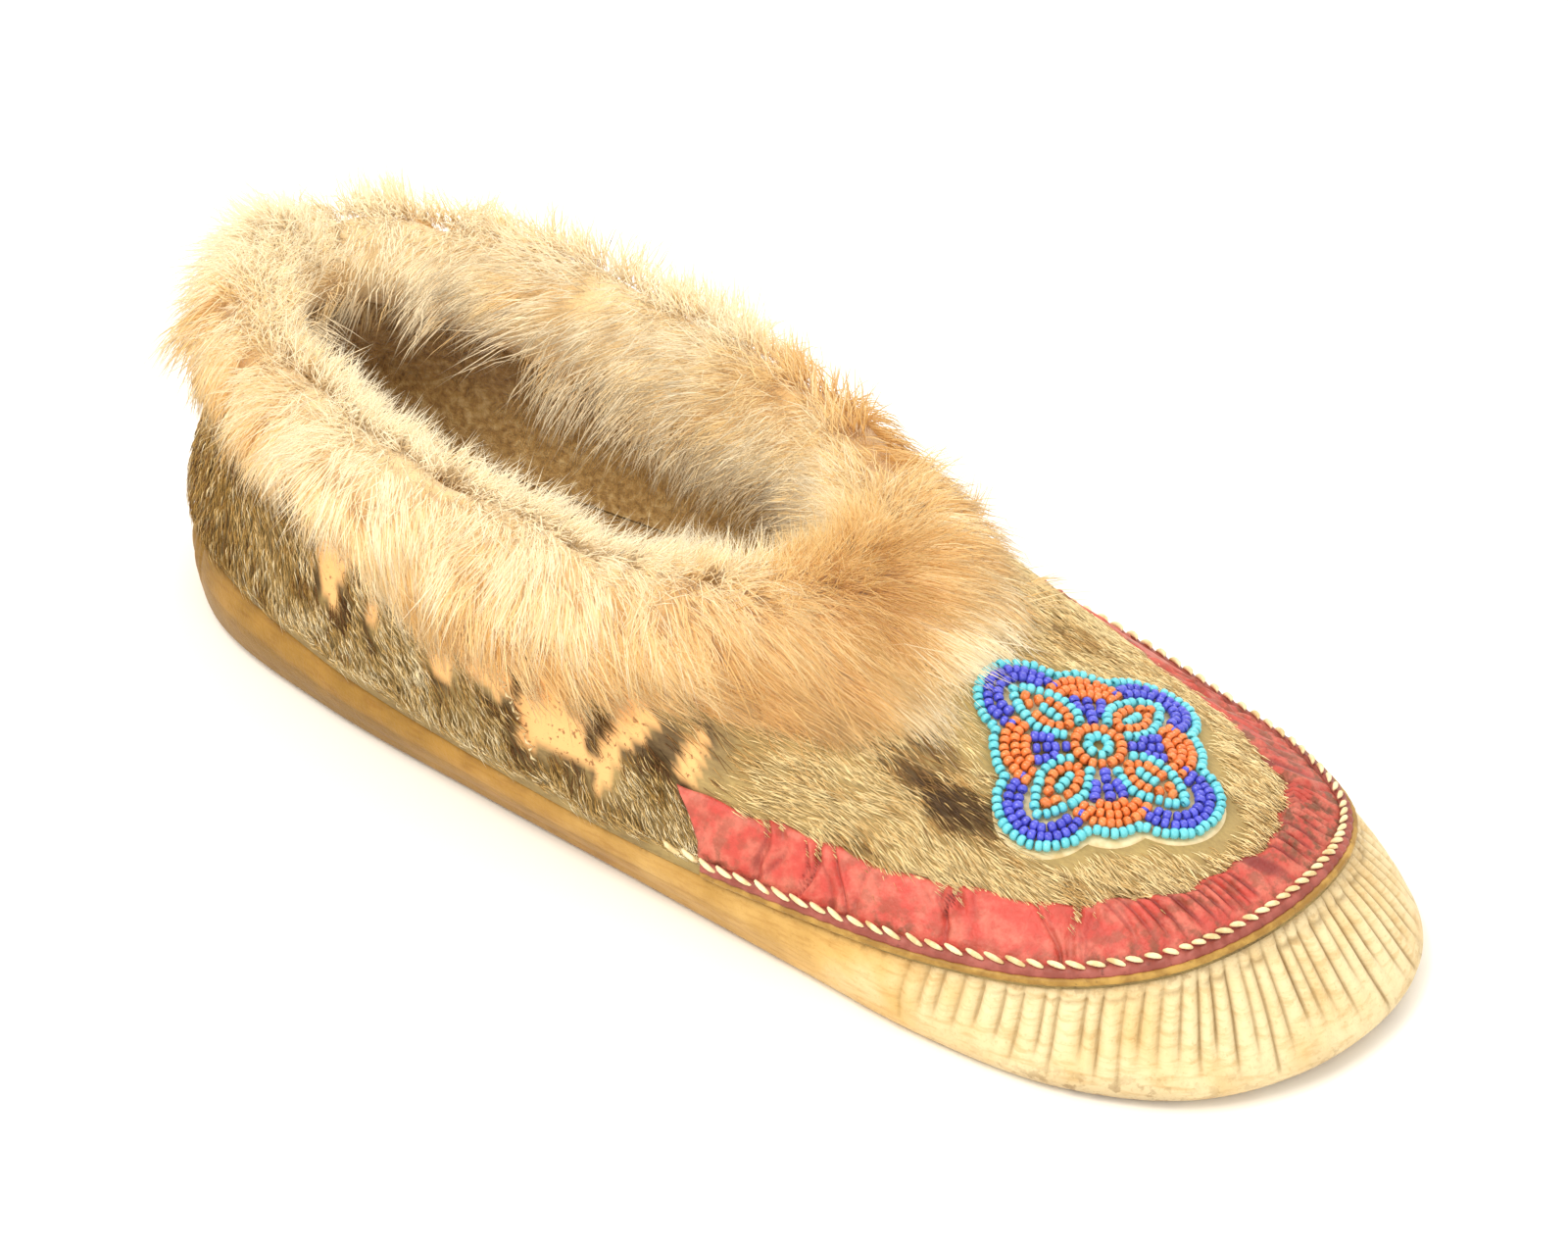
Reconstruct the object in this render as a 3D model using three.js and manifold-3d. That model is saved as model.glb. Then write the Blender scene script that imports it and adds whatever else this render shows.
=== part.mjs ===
// A beaded moccasin slipper for the left foot, in millimetres: +X to the toe, +Y to the little toe, +Z up.
// The origin is on the floor, under the middle of the sole.
//
// One skin sole is turned up all round and puckered at the toe and heel. A sealskin upper stands on its edge.
// A red leather band, a rolled welt and a fur cuff dress it, a beaded rosette lies on the vamp, and a felt
// insole lies inside.
import * as THREE from "three";
import Module from "manifold-3d";
import { mergeVertices } from "three/addons/utils/BufferGeometryUtils.js";

// Sizes of the last and the sole.
const SOLE_LENGTH = 266;
const BALL_WIDTH = 100;
const TOE_WALL_HEIGHT = 26;
const TOE_LEAN = 16;
const TOE_SPRING = 2;
const EDGE_ROUND = 3.6;
const SOLE_WALL = 2.6;
const WALL_BULGE = 1.2;
const STITCH_MARGIN = 0.5;

// Puckers of the turned-up wall.
const PUCKER_PITCH = 3.5;
const PUCKER_DEPTH = 1.1;
const TOE_PUCKER_SHARE = 0.3;
const HEEL_PUCKER_SHARE = 0.13;
const SMOOTH_STOPS = 15;

// Sizes of the upper and what dresses it.
const VAMP_LENGTH = 102;
const HEEL_LEAN = 12;
const COLLAR_BACK = HEEL_LEAN - SOLE_LENGTH / 2;
const COLLAR_LENGTH = SOLE_LENGTH - HEEL_LEAN - VAMP_LENGTH - TOE_LEAN;
const COLLAR_WIDTH = 72;
const COLLAR_HEIGHT = 60;
const UPPER_WALL = 2.4;
const UPPER_STOPS = 30;
const UPPER_SHARES = [0, 0.12, 0.25, 0.4, 0.55, 0.7, 0.85, 1];
const BAND_WIDTH = 13.5;
const BAND_TOE_WIDTH = 9;
const BAND_THICKNESS = 1.2;
const BAND_START_SHARE = 0.55;
const WELT_RADIUS = 1.6;
const INSOLE_THICKNESS = 4;
const CUFF_THICKNESS = 13;
const CUFF_DROP = 21;
const CUFF_RISE = 8;
const CUFF_TUCK = 9;
const LOCK_LENGTH = 13;
const LOCK_ROOT = 4.6;
const LOCK_SINK = 4;
const LOCK_SWAY_SHARE = 0.28;
const LOCK_UNEVEN_SHARE = 0.2;
const ROSETTE_RADIUS = 25.7;
const ROSETTE_THICKNESS = 2.6;
const ROSETTE_ASIDE = 2;
const ROSETTE_PLACE_SHARE = 0.27;

const CLEARANCE = 0.3;

// The rosette's round lobes: how many, the first one's angle, and how far out and how large they are, as
// shares of ROSETTE_RADIUS.
const ROSETTE_LOBES = [
  { count: 4, first: 0, reach: 0.626, radius: 0.374 },
  { count: 4, first: Math.PI / 4, reach: 0.358, radius: 0.42 },
];

// The sole's edge in plan. along is the share of SOLE_LENGTH from the heel, and the sides are shares of
// BALL_WIDTH.
const OUTLINE = [
  { along: 0.0, medial: -0.02, lateral: 0.02 },
  { along: 0.022, medial: 0.2, lateral: 0.23 },
  { along: 0.09, medial: 0.362, lateral: 0.345 },
  { along: 0.21, medial: 0.43, lateral: 0.4 },
  { along: 0.36, medial: 0.45, lateral: 0.455 },
  { along: 0.5, medial: 0.46, lateral: 0.5 },
  { along: 0.64, medial: 0.472, lateral: 0.52 },
  { along: 0.76, medial: 0.478, lateral: 0.51 },
  { along: 0.86, medial: 0.438, lateral: 0.468 },
  { along: 0.94, medial: 0.325, lateral: 0.375 },
  { along: 0.985, medial: 0.15, lateral: 0.235 },
  { along: 1.0, medial: -0.06, lateral: 0.06 },
];

// The seam where the sole's wall ends. The insets are shares of TOE_LEAN, and rise is a share of
// TOE_WALL_HEIGHT.
const SEAM = [
  { along: 0.0, medial: 0.06, lateral: 0.06, rise: 0.68 },
  { along: 0.09, medial: 0.02, lateral: 0.02, rise: 0.66 },
  { along: 0.22, medial: -0.05, lateral: -0.05, rise: 0.54 },
  { along: 0.36, medial: -0.14, lateral: -0.12, rise: 0.5 },
  { along: 0.5, medial: -0.16, lateral: -0.18, rise: 0.5 },
  { along: 0.64, medial: -0.02, lateral: -0.1, rise: 0.54 },
  { along: 0.76, medial: 0.18, lateral: 0.22, rise: 0.63 },
  { along: 0.86, medial: 0.44, lateral: 0.46, rise: 0.74 },
  { along: 0.94, medial: 0.76, lateral: 0.74, rise: 0.88 },
  { along: 1.0, medial: 1.0, lateral: 1.0, rise: 1.0 },
];

// The collar's edge. along is the share of COLLAR_LENGTH from the back, the sides are shares of COLLAR_WIDTH,
// and rise is a share of COLLAR_HEIGHT.
const COLLAR = [
  { along: 0.0, medial: -0.02, lateral: 0.02, rise: 1.0 },
  { along: 0.04, medial: 0.2, lateral: 0.22, rise: 1.0 },
  { along: 0.15, medial: 0.36, lateral: 0.37, rise: 0.98 },
  { along: 0.36, medial: 0.455, lateral: 0.46, rise: 0.95 },
  { along: 0.6, medial: 0.47, lateral: 0.49, rise: 0.91 },
  { along: 0.8, medial: 0.38, lateral: 0.42, rise: 0.85 },
  { along: 0.94, medial: 0.2, lateral: 0.26, rise: 0.79 },
  { along: 1.0, medial: -0.03, lateral: 0.03, rise: 0.77 },
];

// How the upper's wall runs from seam to collar. turn is the share of the way from heel to toe along the
// seam, and collar that share along the collar. The angles, in degrees above the floor, lean the wall inwards
// at its foot, medial and lateral, and at its top. The pulls are shares of the distance from foot to top.
const RUN = [
  { turn: 0.0, collar: 0.0, medial: 97, lateral: 97, topAngle: 88, footPull: 0.36, topPull: 0.34 },
  { turn: 0.1, collar: 0.11, medial: 97, lateral: 96, topAngle: 84, footPull: 0.36, topPull: 0.34 },
  { turn: 0.3, collar: 0.35, medial: 92, lateral: 90, topAngle: 70, footPull: 0.36, topPull: 0.34 },
  { turn: 0.45, collar: 0.57, medial: 87, lateral: 74, topAngle: 58, footPull: 0.35, topPull: 0.34 },
  { turn: 0.58, collar: 0.74, medial: 66, lateral: 52, topAngle: 42, footPull: 0.33, topPull: 0.34 },
  { turn: 0.7, collar: 0.85, medial: 44, lateral: 38, topAngle: 32, footPull: 0.25, topPull: 0.36 },
  { turn: 0.82, collar: 0.92, medial: 32, lateral: 30, topAngle: 26, footPull: 0.2, topPull: 0.36 },
  { turn: 0.92, collar: 0.965, medial: 26, lateral: 25, topAngle: 17, footPull: 0.16, topPull: 0.36 },
  { turn: 1.0, collar: 1.0, medial: 24, lateral: 24, topAngle: 11, footPull: 0.16, topPull: 0.34 },
];

// How far the cuff hangs down outside the upper, as shares of CUFF_DROP at the sides and of VAMP_LENGTH in
// front, and how full it is.
const CUFF_FALL = [
  { turn: 0.0, side: 0.8, front: 0.0, bulk: 1.0 },
  { turn: 0.1, side: 0.6, front: 0.0, bulk: 0.95 },
  { turn: 0.2, side: 0.55, front: 0.0, bulk: 0.85 },
  { turn: 0.32, side: 0.85, front: 0.0, bulk: 0.9 },
  { turn: 0.42, side: 1.0, front: 0.0, bulk: 0.9 },
  { turn: 0.6, side: 0.88, front: 0.01, bulk: 0.85 },
  { turn: 0.8, side: 0.4, front: 0.1, bulk: 0.75 },
  { turn: 1.0, side: 0.0, front: 0.2, bulk: 0.7 },
];

// The cuff's section over the collar: out is a share of CUFF_THICKNESS outwards, tuck a share of CUFF_TUCK
// inwards, and rise a share of CUFF_RISE.
const CUFF_CROWN = [
  { out: 0, tuck: 0.95, rise: 0.35 },
  { out: 0, tuck: -0.15, rise: 1.0 },
  { out: 0.72, tuck: 0, rise: 0.6 },
];

// The cuff's section outside: reach is the share of its drop, and bulk that of its thickness.
const CUFF_OUTSIDE = [
  { reach: 0.2, bulk: 0.98 },
  { reach: 0.55, bulk: 1.0 },
  { reach: 0.86, bulk: 0.78 },
  { reach: 1.0, bulk: 0.3 },
];

// How much the fur's fullness varies round the collar, as it parts and gathers in tufts.
const TUFTS = [
  { share: 0.1, waves: 31, phase: 0 },
  { share: 0.07, waves: 53, phase: 1.3 },
];

// Rows of locks on the cuff: how many, where they grow, how they lean off the skin and down it, and how long.
const LOCK_ROWS = [
  { count: 38, reach: 0.8, bulk: 0.6, out: 0.22, down: 1.0, length: 1.0, phase: 0.0 },
  { count: 30, reach: 0.3, bulk: 0.78, out: 0.5, down: 1.0, length: 0.9, phase: 0.4 },
  { count: 24, reach: 0.02, bulk: 0.7, out: 0.7, down: -0.7, length: 0.5, phase: 0.2 },
];

const UP = new THREE.Vector3(0, 0, 1);

/** The value of one column of a table at a place between its rows, along a smooth curve through them. */
function columnAt(table, place, key, column) {
  const last = table.length - 1;
  const held = THREE.MathUtils.clamp(place, table[0][key], table[last][key]);
  let i = 0;
  while (i < last - 1 && held > table[i + 1][key]) i += 1;
  const [a, b] = [table[i], table[i + 1]];
  const span = b[key] - a[key];
  const slopeOver = (p, q) => (q[column] - p[column]) / (q[key] - p[key]);
  const startSlope = i > 0 ? slopeOver(table[i - 1], b) : slopeOver(a, b);
  const endSlope = i < last - 1 ? slopeOver(a, table[i + 2]) : slopeOver(a, b);
  const t = (held - a[key]) / span;
  const [t2, t3] = [t * t, t * t * t];
  return (
    (2 * t3 - 3 * t2 + 1) * a[column] +
    (t3 - 2 * t2 + t) * span * startSlope +
    (3 * t2 - 2 * t3) * b[column] +
    (t3 - t2) * span * endSlope
  );
}

/** A closed line round the foot. Its turn goes from 0 at the heel by the medial side to 1 at the toe. */
class Loop {
  constructor(table, length, width, back) {
    const at = (row, across) => new THREE.Vector3(back + row.along * length, across * width, 0);
    const middle = (row) => at(row, (row.lateral - row.medial) / 2);
    const sides = table.slice(1, -1);
    const points = [
      middle(table[0]),
      ...sides.map((row) => at(row, -row.medial)),
      middle(table.at(-1)),
      ...sides.toReversed().map((row) => at(row, row.lateral)),
    ];
    this.curve = new THREE.CatmullRomCurve3(points, true, "centripetal");
    this.curve.arcLengthDivisions = 800;
    const lengths = this.curve.getLengths();
    this.toeShare = lengths[lengths.length >> 1] / lengths.at(-1);
    this.length = lengths.at(-1);
  }

  shareOf(turn) {
    const around = ((turn % 2) + 2) % 2;
    return around <= 1 ? around * this.toeShare : this.toeShare + (around - 1) * (1 - this.toeShare);
  }

  at(turn) {
    return this.curve.getPointAt(this.shareOf(turn));
  }

  /** The level direction that points inwards, square to the line. */
  inward(turn) {
    return UP.clone().cross(this.curve.getTangentAt(this.shareOf(turn))).normalize();
  }
}

const soleEdge = new Loop(OUTLINE, SOLE_LENGTH, BALL_WIDTH, -SOLE_LENGTH / 2);
const collarEdge = new Loop(COLLAR, COLLAR_LENGTH, COLLAR_WIDTH, COLLAR_BACK);

const sideOf = (turn) => (turn <= 1 ? "medial" : "lateral");
const heelToToe = (turn) => (turn <= 1 ? turn : 2 - turn);
const alongSole = (x) => x / SOLE_LENGTH + 0.5;

/** How far the toe's underside lifts off the floor at a distance along the sole. */
function springAt(x) {
  const lift = THREE.MathUtils.clamp((alongSole(x) - 0.8) / 0.2, 0, 1);
  return TOE_SPRING * lift * lift;
}

/** The top outer edge of the sole's wall, where the upper is sewn on. */
function seamAt(turn) {
  const edge = soleEdge.at(turn);
  const inset = TOE_LEAN * columnAt(SEAM, alongSole(edge.x), "along", sideOf(turn));
  edge.addScaledVector(soleEdge.inward(turn), inset);
  edge.z = TOE_WALL_HEIGHT * columnAt(SEAM, alongSole(edge.x + inset * 0.5), "along", "rise");
  return edge;
}

function collarAt(turn) {
  const share = columnAt(RUN, heelToToe(turn), "turn", "collar");
  const collarTurn = turn <= 1 ? share : 2 - share;
  const edge = collarEdge.at(collarTurn);
  const along = (edge.x - COLLAR_BACK) / COLLAR_LENGTH;
  edge.z = COLLAR_HEIGHT * columnAt(COLLAR, along, "along", "rise");
  return { edge, inward: collarEdge.inward(collarTurn) };
}

/** The upper's outer line from seam to collar at a turn, as a curve whose u is its share of length. */
function runAt(turn) {
  const share = heelToToe(turn);
  const of = (column) => columnAt(RUN, share, "turn", column);
  const slope = (inward, degrees) => {
    const angle = THREE.MathUtils.degToRad(degrees);
    return inward.clone().multiplyScalar(Math.cos(angle)).addScaledVector(UP, Math.sin(angle));
  };
  const foot = seamAt(turn).addScaledVector(UP, CLEARANCE);
  const { edge, inward } = collarAt(turn);
  const chord = foot.distanceTo(edge);
  const footSlope = slope(soleEdge.inward(turn), of(sideOf(turn)));
  const footHandle = foot.clone().addScaledVector(footSlope, chord * of("footPull"));
  const topHandle = edge.clone().addScaledVector(slope(inward, of("topAngle")), -chord * of("topPull"));
  const curve = new THREE.CubicBezierCurve3(foot, footHandle, topHandle, edge);
  curve.arcLengthDivisions = 60;
  return curve;
}

/** The upper's outer surface at a turn and a share of the way up: a point, its outward way and its way up. */
function skinAt(turn, share) {
  const step = 0.004;
  const run = runAt(turn);
  const point = run.getPointAt(share);
  const along = runAt(turn + step).getPointAt(share).sub(runAt(turn - step).getPointAt(share));
  const up = run.getTangentAt(share);
  return { point, normal: along.cross(up).normalize(), up };
}

/** A point a distance from the seam up the skin, or from the collar down it, and a height off the skin. */
function offSkin(turn, distance, height, fromCollar = false) {
  const length = runAt(turn).getLength();
  const share = THREE.MathUtils.clamp((fromCollar ? length - distance : distance) / length, 0, 1);
  const skin = skinAt(turn, share);
  return skin.point.addScaledVector(skin.normal, height);
}

/** A closed mesh from rows of points. Triangles listed with a repeated corner are dropped. */
function solidFrom(points, triangles) {
  const geometry = new THREE.BufferGeometry();
  const kept = triangles.filter(([a, b, c]) => a !== b && b !== c && c !== a);
  geometry.setAttribute("position", new THREE.Float32BufferAttribute(points.flatMap((p) => p.toArray()), 3));
  geometry.setIndex(kept.flat());
  geometry.computeVertexNormals();
  return geometry;
}

const quad = (a, b, c, d) => [[a, b, c], [a, c, d]];

/** Triangles between rings of equal count, each ring anticlockwise from above where the next lies higher. */
function skirt(rows, count, first = 0) {
  const triangles = [];
  for (let row = 0; row < rows - 1; row += 1)
    for (let k = 0; k < count; k += 1) {
      const here = first + row * count;
      const next = (k + 1) % count;
      triangles.push(...quad(here + k, here + next, here + count + next, here + count + k));
    }
  return triangles;
}

/** Triangles across a ring, from each point to the one at the same station on the other side, facing up. */
function deck(first, count) {
  const triangles = [];
  for (let k = 0; k < count / 2; k += 1) {
    const opposite = (j) => first + ((count - j) % count);
    triangles.push(...quad(first + k, first + k + 1, opposite(k + 1), opposite(k)));
  }
  return triangles;
}

const flip = (triangles) => triangles.map(([a, b, c]) => [a, c, b]);

/** A shell whose rings go up the outside and down the inside, open above and below. */
function ringShell(rings) {
  const count = rings[0].length;
  return solidFrom([...rings, rings[0]].flat(), skirt(rings.length + 1, count));
}

/** A solid closed by a deck under its first ring and over its last one. */
function deckedSolid(rings) {
  const count = rings[0].length;
  const triangles = [
    ...skirt(rings.length, count),
    ...flip(deck(0, count)),
    ...deck((rings.length - 1) * count, count),
  ];
  return solidFrom(rings.flat(), triangles);
}

/** A bar through like sections, each clockwise seen from behind, closed by a fan at each end. */
function bar(sections) {
  const count = sections[0].length;
  const last = (sections.length - 1) * count;
  const triangles = skirt(sections.length, count);
  for (let k = 1; k < count - 1; k += 1) triangles.push([0, k + 1, k], [last, last + k, last + k + 1]);
  return solidFrom(sections.flat(), triangles);
}

/** Turns from the heel round to the heel again, from stops on one side mirrored to the other. */
function bothSides(stops) {
  const back = stops.slice(1, -1).map((stop) => 2 - stop);
  return [...stops, ...back.reverse()];
}

const evenly = (count, from, to) => Array.from({ length: count }, (_, i) => from + ((to - from) * i) / count);

/** The turns of the sole's rings: two to each pucker, and wider ones along the smooth sides. */
function soleStops() {
  const side = soleEdge.length / 2;
  const heel = 2 * Math.round((side * HEEL_PUCKER_SHARE) / PUCKER_PITCH);
  const toe = 2 * Math.round((side * TOE_PUCKER_SHARE) / PUCKER_PITCH);
  return {
    heel,
    toe,
    stops: [
      ...evenly(heel, 0, HEEL_PUCKER_SHARE),
      ...evenly(SMOOTH_STOPS, HEEL_PUCKER_SHARE, 1 - TOE_PUCKER_SHARE),
      ...evenly(toe, 1 - TOE_PUCKER_SHARE, 1),
      1,
    ],
  };
}

/** The turned-up sole: a flat tray whose wall rises, leans in at the toe and is puckered at toe and heel. */
function soleGeometry() {
  const { heel, toe, stops } = soleStops();
  const smoothTo = heel + SMOOTH_STOPS;
  const turns = bothSides(stops);
  const folded = (k) => {
    const i = Math.min(k, turns.length - k);
    const puckered = i < heel || (i > smoothTo && i < smoothTo + toe);
    return puckered && i % 2 === 1 ? PUCKER_DEPTH : 0;
  };
  const ring = (place) => turns.map((turn, k) => place(turn, folded(k)));
  const level = (turn, inset, height) => {
    const point = soleEdge.at(turn).addScaledVector(soleEdge.inward(turn), inset);
    point.z = height + springAt(point.x);
    return point;
  };
  const wall = (turn, share, inset) => {
    const foot = level(turn, 0, EDGE_ROUND);
    const inward = soleEdge.inward(turn);
    const bulge = -WALL_BULGE * Math.sin(Math.PI * share);
    return foot.lerp(seamAt(turn), share).addScaledVector(inward, bulge + inset);
  };
  const floorInset = EDGE_ROUND + SOLE_WALL;
  return deckedSolid([
    ring((turn) => level(turn, EDGE_ROUND, 0)),
    ring((turn) => level(turn, EDGE_ROUND * 0.29, EDGE_ROUND * 0.29)),
    ring((turn, fold) => wall(turn, 0, fold * 0.3)),
    ring((turn, fold) => wall(turn, 0.5, fold * 0.8)),
    ring((turn, fold) => wall(turn, 1, fold)),
    ring((turn) => wall(turn, 1, SOLE_WALL + PUCKER_DEPTH * 0.5)),
    ring((turn) => wall(turn, 0.5, SOLE_WALL + PUCKER_DEPTH * 0.5)),
    ring((turn) => level(turn, floorInset - EDGE_ROUND * 0.6, SOLE_WALL + EDGE_ROUND * 0.5)),
    ring((turn) => level(turn, floorInset, SOLE_WALL)),
  ]);
}

/** The felt insole, which fills the tray's floor. */
function insoleGeometry() {
  const turns = bothSides([...evenly(26, 0, 1), 1]);
  const inset = EDGE_ROUND + SOLE_WALL + CLEARANCE + STITCH_MARGIN;
  const ring = (extra, height) =>
    turns.map((turn) => {
      const point = soleEdge.at(turn).addScaledVector(soleEdge.inward(turn), inset + extra);
      point.z = SOLE_WALL + CLEARANCE + height + springAt(point.x);
      return point;
    });
  return deckedSolid([
    ring(0, 0),
    ring(0, INSOLE_THICKNESS * 0.6),
    ring(INSOLE_THICKNESS * 0.4, INSOLE_THICKNESS),
  ]);
}

/** The sealskin upper: one wall from the seam to the collar, open above and underneath. */
function upperGeometry() {
  const turns = bothSides([...evenly(UPPER_STOPS, 0, 1), 1]);
  const shares = UPPER_SHARES.slice(1);
  const levelCut = (turn) => {
    const angle = THREE.MathUtils.degToRad(columnAt(RUN, heelToToe(turn), "turn", sideOf(turn)));
    const reach = UPPER_WALL / Math.sin(angle);
    return skinAt(turn, 0).point.addScaledVector(soleEdge.inward(turn), reach);
  };
  const outside = shares.map((share) => turns.map((turn) => skinAt(turn, share).point));
  const inside = shares.map((share) =>
    turns.map((turn) => {
      const { point, normal } = skinAt(turn, share);
      return point.addScaledVector(normal, -UPPER_WALL);
    }),
  );
  return ringShell([
    turns.map((turn) => skinAt(turn, 0).point),
    ...outside,
    ...inside.reverse(),
    turns.map(levelCut),
  ]);
}

/** Turns round the forepart, from one end of the band to the other. */
const forepart = (count) => [...evenly(count, BAND_START_SHARE, 2 - BAND_START_SHARE), 2 - BAND_START_SHARE];

/** The dyed leather band between welt and plug: a strip off the upper's own form. */
function bandGeometry() {
  const foot = 2 * WELT_RADIUS + CLEARANCE * 2;
  const across = [0, 0.35, 0.7, 1];
  const sections = forepart(56).map((turn) => {
    const toToe = THREE.MathUtils.smoothstep(heelToToe(turn), 0.75, 1);
    const width = THREE.MathUtils.lerp(BAND_WIDTH, BAND_TOE_WIDTH, toToe);
    const at = (share, height) => offSkin(turn, foot + width * share, height);
    return [
      ...across.map((share) => at(share, CLEARANCE)),
      ...across.toReversed().map((share) => at(share, CLEARANCE + BAND_THICKNESS)),
    ];
  });
  const count = sections[0].length;
  const last = (sections.length - 1) * count;
  const triangles = skirt(sections.length, count);
  for (let k = 0; k < across.length - 1; k += 1) {
    const [near, far] = [k, count - 1 - k];
    triangles.push(...flip(quad(near, near + 1, far - 1, far)));
    triangles.push(...quad(last + near, last + near + 1, last + far - 1, last + far));
  }
  return solidFrom(sections.flat(), triangles);
}

/** The rolled welt that covers the seam round the forepart. */
function weltGeometry() {
  const corners = 7;
  const sections = forepart(60).map((turn) => {
    const length = runAt(turn).getLength();
    const { point, normal, up } = skinAt(turn, (WELT_RADIUS + CLEARANCE) / length);
    const middle = point.addScaledVector(normal, WELT_RADIUS + CLEARANCE);
    return evenly(corners, 0, 2 * Math.PI).map((angle) =>
      middle
        .clone()
        .addScaledVector(normal, WELT_RADIUS * Math.cos(angle))
        .addScaledVector(up, WELT_RADIUS * Math.sin(angle)),
    );
  });
  return bar(sections.map((section) => section.toReversed()));
}

const tuftAt = (turn) => TUFTS.reduce((sum, t) => sum + t.share * Math.sin(turn * t.waves + t.phase), 1);
const cuffOf = (turn, column) => columnAt(CUFF_FALL, heelToToe(turn), "turn", column);
const cuffDrop = (turn) => CUFF_DROP * cuffOf(turn, "side") + VAMP_LENGTH * cuffOf(turn, "front");
const fullness = (turn) => cuffOf(turn, "bulk");
const cuffBulk = (turn) => tuftAt(turn) * fullness(turn);

/** A point on the cuff's fur: reach runs down outside from the collar, and bulk is how far it stands off. */
function cuffAt(turn, reach, bulk) {
  return offSkin(turn, cuffDrop(turn) * reach, CLEARANCE + CUFF_THICKNESS * bulk * cuffBulk(turn), true);
}

/** The fur cuff's roll, which saddles the collar, hangs down outside it and tucks in a little. */
function cuffRoll() {
  const turns = bothSides([...evenly(UPPER_STOPS, 0, 1), 1]);
  const inner = -UPPER_WALL - CLEARANCE;
  const onRim = (turn, out, rise) => {
    const { point, normal, up } = skinAt(turn, 1);
    return point.addScaledVector(normal, out).addScaledVector(up, rise);
  };
  const crown = (turn, row) => {
    const out = row.out * CUFF_THICKNESS - row.tuck * CUFF_TUCK;
    const from = row.tuck > 0 ? inner : 0;
    return onRim(turn, from + out * cuffBulk(turn), CUFF_RISE * row.rise * cuffBulk(turn));
  };
  const lip = (turn, out) => offSkin(turn, CUFF_TUCK, inner - out * cuffBulk(turn), true);
  const hug = (turn, reach) => offSkin(turn, cuffDrop(turn) * reach, CLEARANCE, true);
  const rings = [
    (turn) => hug(turn, 0.5),
    (turn) => hug(turn, 0.92),
    ...CUFF_OUTSIDE.toReversed().map((row) => (turn) => cuffAt(turn, row.reach, row.bulk)),
    ...CUFF_CROWN.toReversed().map((row) => (turn) => crown(turn, row)),
    (turn) => lip(turn, CUFF_TUCK * 0.75),
    (turn) => lip(turn, 0),
    (turn) => onRim(turn, inner, CLEARANCE),
    (turn) => onRim(turn, CLEARANCE, CLEARANCE),
  ];
  return ringShell(rings.map((ring) => turns.map(ring)));
}

/** A closed mesh as a solid that can be joined and cut. */
function toManifold(wasm, geometry) {
  const bare = geometry.index ? geometry.toNonIndexed() : geometry.clone();
  bare.deleteAttribute("normal");
  bare.deleteAttribute("uv");
  const merged = mergeVertices(bare, 1e-3);
  return new wasm.Manifold(
    new wasm.Mesh({
      numProp: 3,
      vertProperties: new Float32Array(merged.attributes.position.array),
      triVerts: new Uint32Array(merged.index.array),
    }),
  );
}

function fromManifold(manifold) {
  const mesh = manifold.getMesh();
  const geometry = new THREE.BufferGeometry();
  geometry.setAttribute("position", new THREE.Float32BufferAttribute(mesh.vertProperties, 3));
  geometry.setIndex(Array.from(mesh.triVerts));
  geometry.computeVertexNormals();
  return geometry;
}

/** One lock of fur: a slim cone that leaves its root in the given direction. */
function lockGeometry(root, direction, length, radius) {
  const cone = new THREE.ConeGeometry(radius, length + LOCK_SINK, 4, 1);
  cone.translate(0, (length - LOCK_SINK) / 2, 0);
  cone.applyQuaternion(new THREE.Quaternion().setFromUnitVectors(new THREE.Vector3(0, 1, 0), direction));
  return cone.translate(root.x, root.y, root.z);
}

/** The fur cuff: its roll with rows of locks joined on. */
function cuffGeometry(wasm) {
  let cuff = toManifold(wasm, cuffRoll());
  for (const row of LOCK_ROWS)
    for (let i = 0; i < row.count; i += 1) {
      const turn = (2 * (i + row.phase)) / row.count;
      const share = 1 - (cuffDrop(turn) * row.reach) / runAt(turn).getLength();
      const { normal, up } = skinAt(turn, share);
      const direction = normal
        .clone()
        .multiplyScalar(row.out)
        .addScaledVector(up, -row.down)
        .addScaledVector(normal.clone().cross(up), LOCK_SWAY_SHARE * Math.sin(2 * i + row.phase))
        .normalize();
      const length = LOCK_LENGTH * row.length * fullness(turn) * (1 + LOCK_UNEVEN_SHARE * Math.sin(3 * i));
      const radius = LOCK_ROOT * (0.4 + 0.6 * fullness(turn));
      const lock = lockGeometry(cuffAt(turn, row.reach, row.bulk), direction, length, radius);
      cuff = cuff.add(toManifold(wasm, lock));
    }
  return fromManifold(cuff);
}

/** How far the rosette's scalloped edge lies from its centre: the outermost of its round lobes. */
function rosetteRadius(angle) {
  let furthest = 0;
  for (const lobe of ROSETTE_LOBES)
    for (let i = 0; i < lobe.count; i += 1) {
      const away = angle - lobe.first - (i * 2 * Math.PI) / lobe.count;
      const off = lobe.reach * Math.sin(away);
      if (Math.cos(away) > 0 && Math.abs(off) < lobe.radius)
        furthest = Math.max(furthest, lobe.reach * Math.cos(away) + Math.sqrt(lobe.radius ** 2 - off ** 2));
    }
  return ROSETTE_RADIUS * furthest;
}

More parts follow.
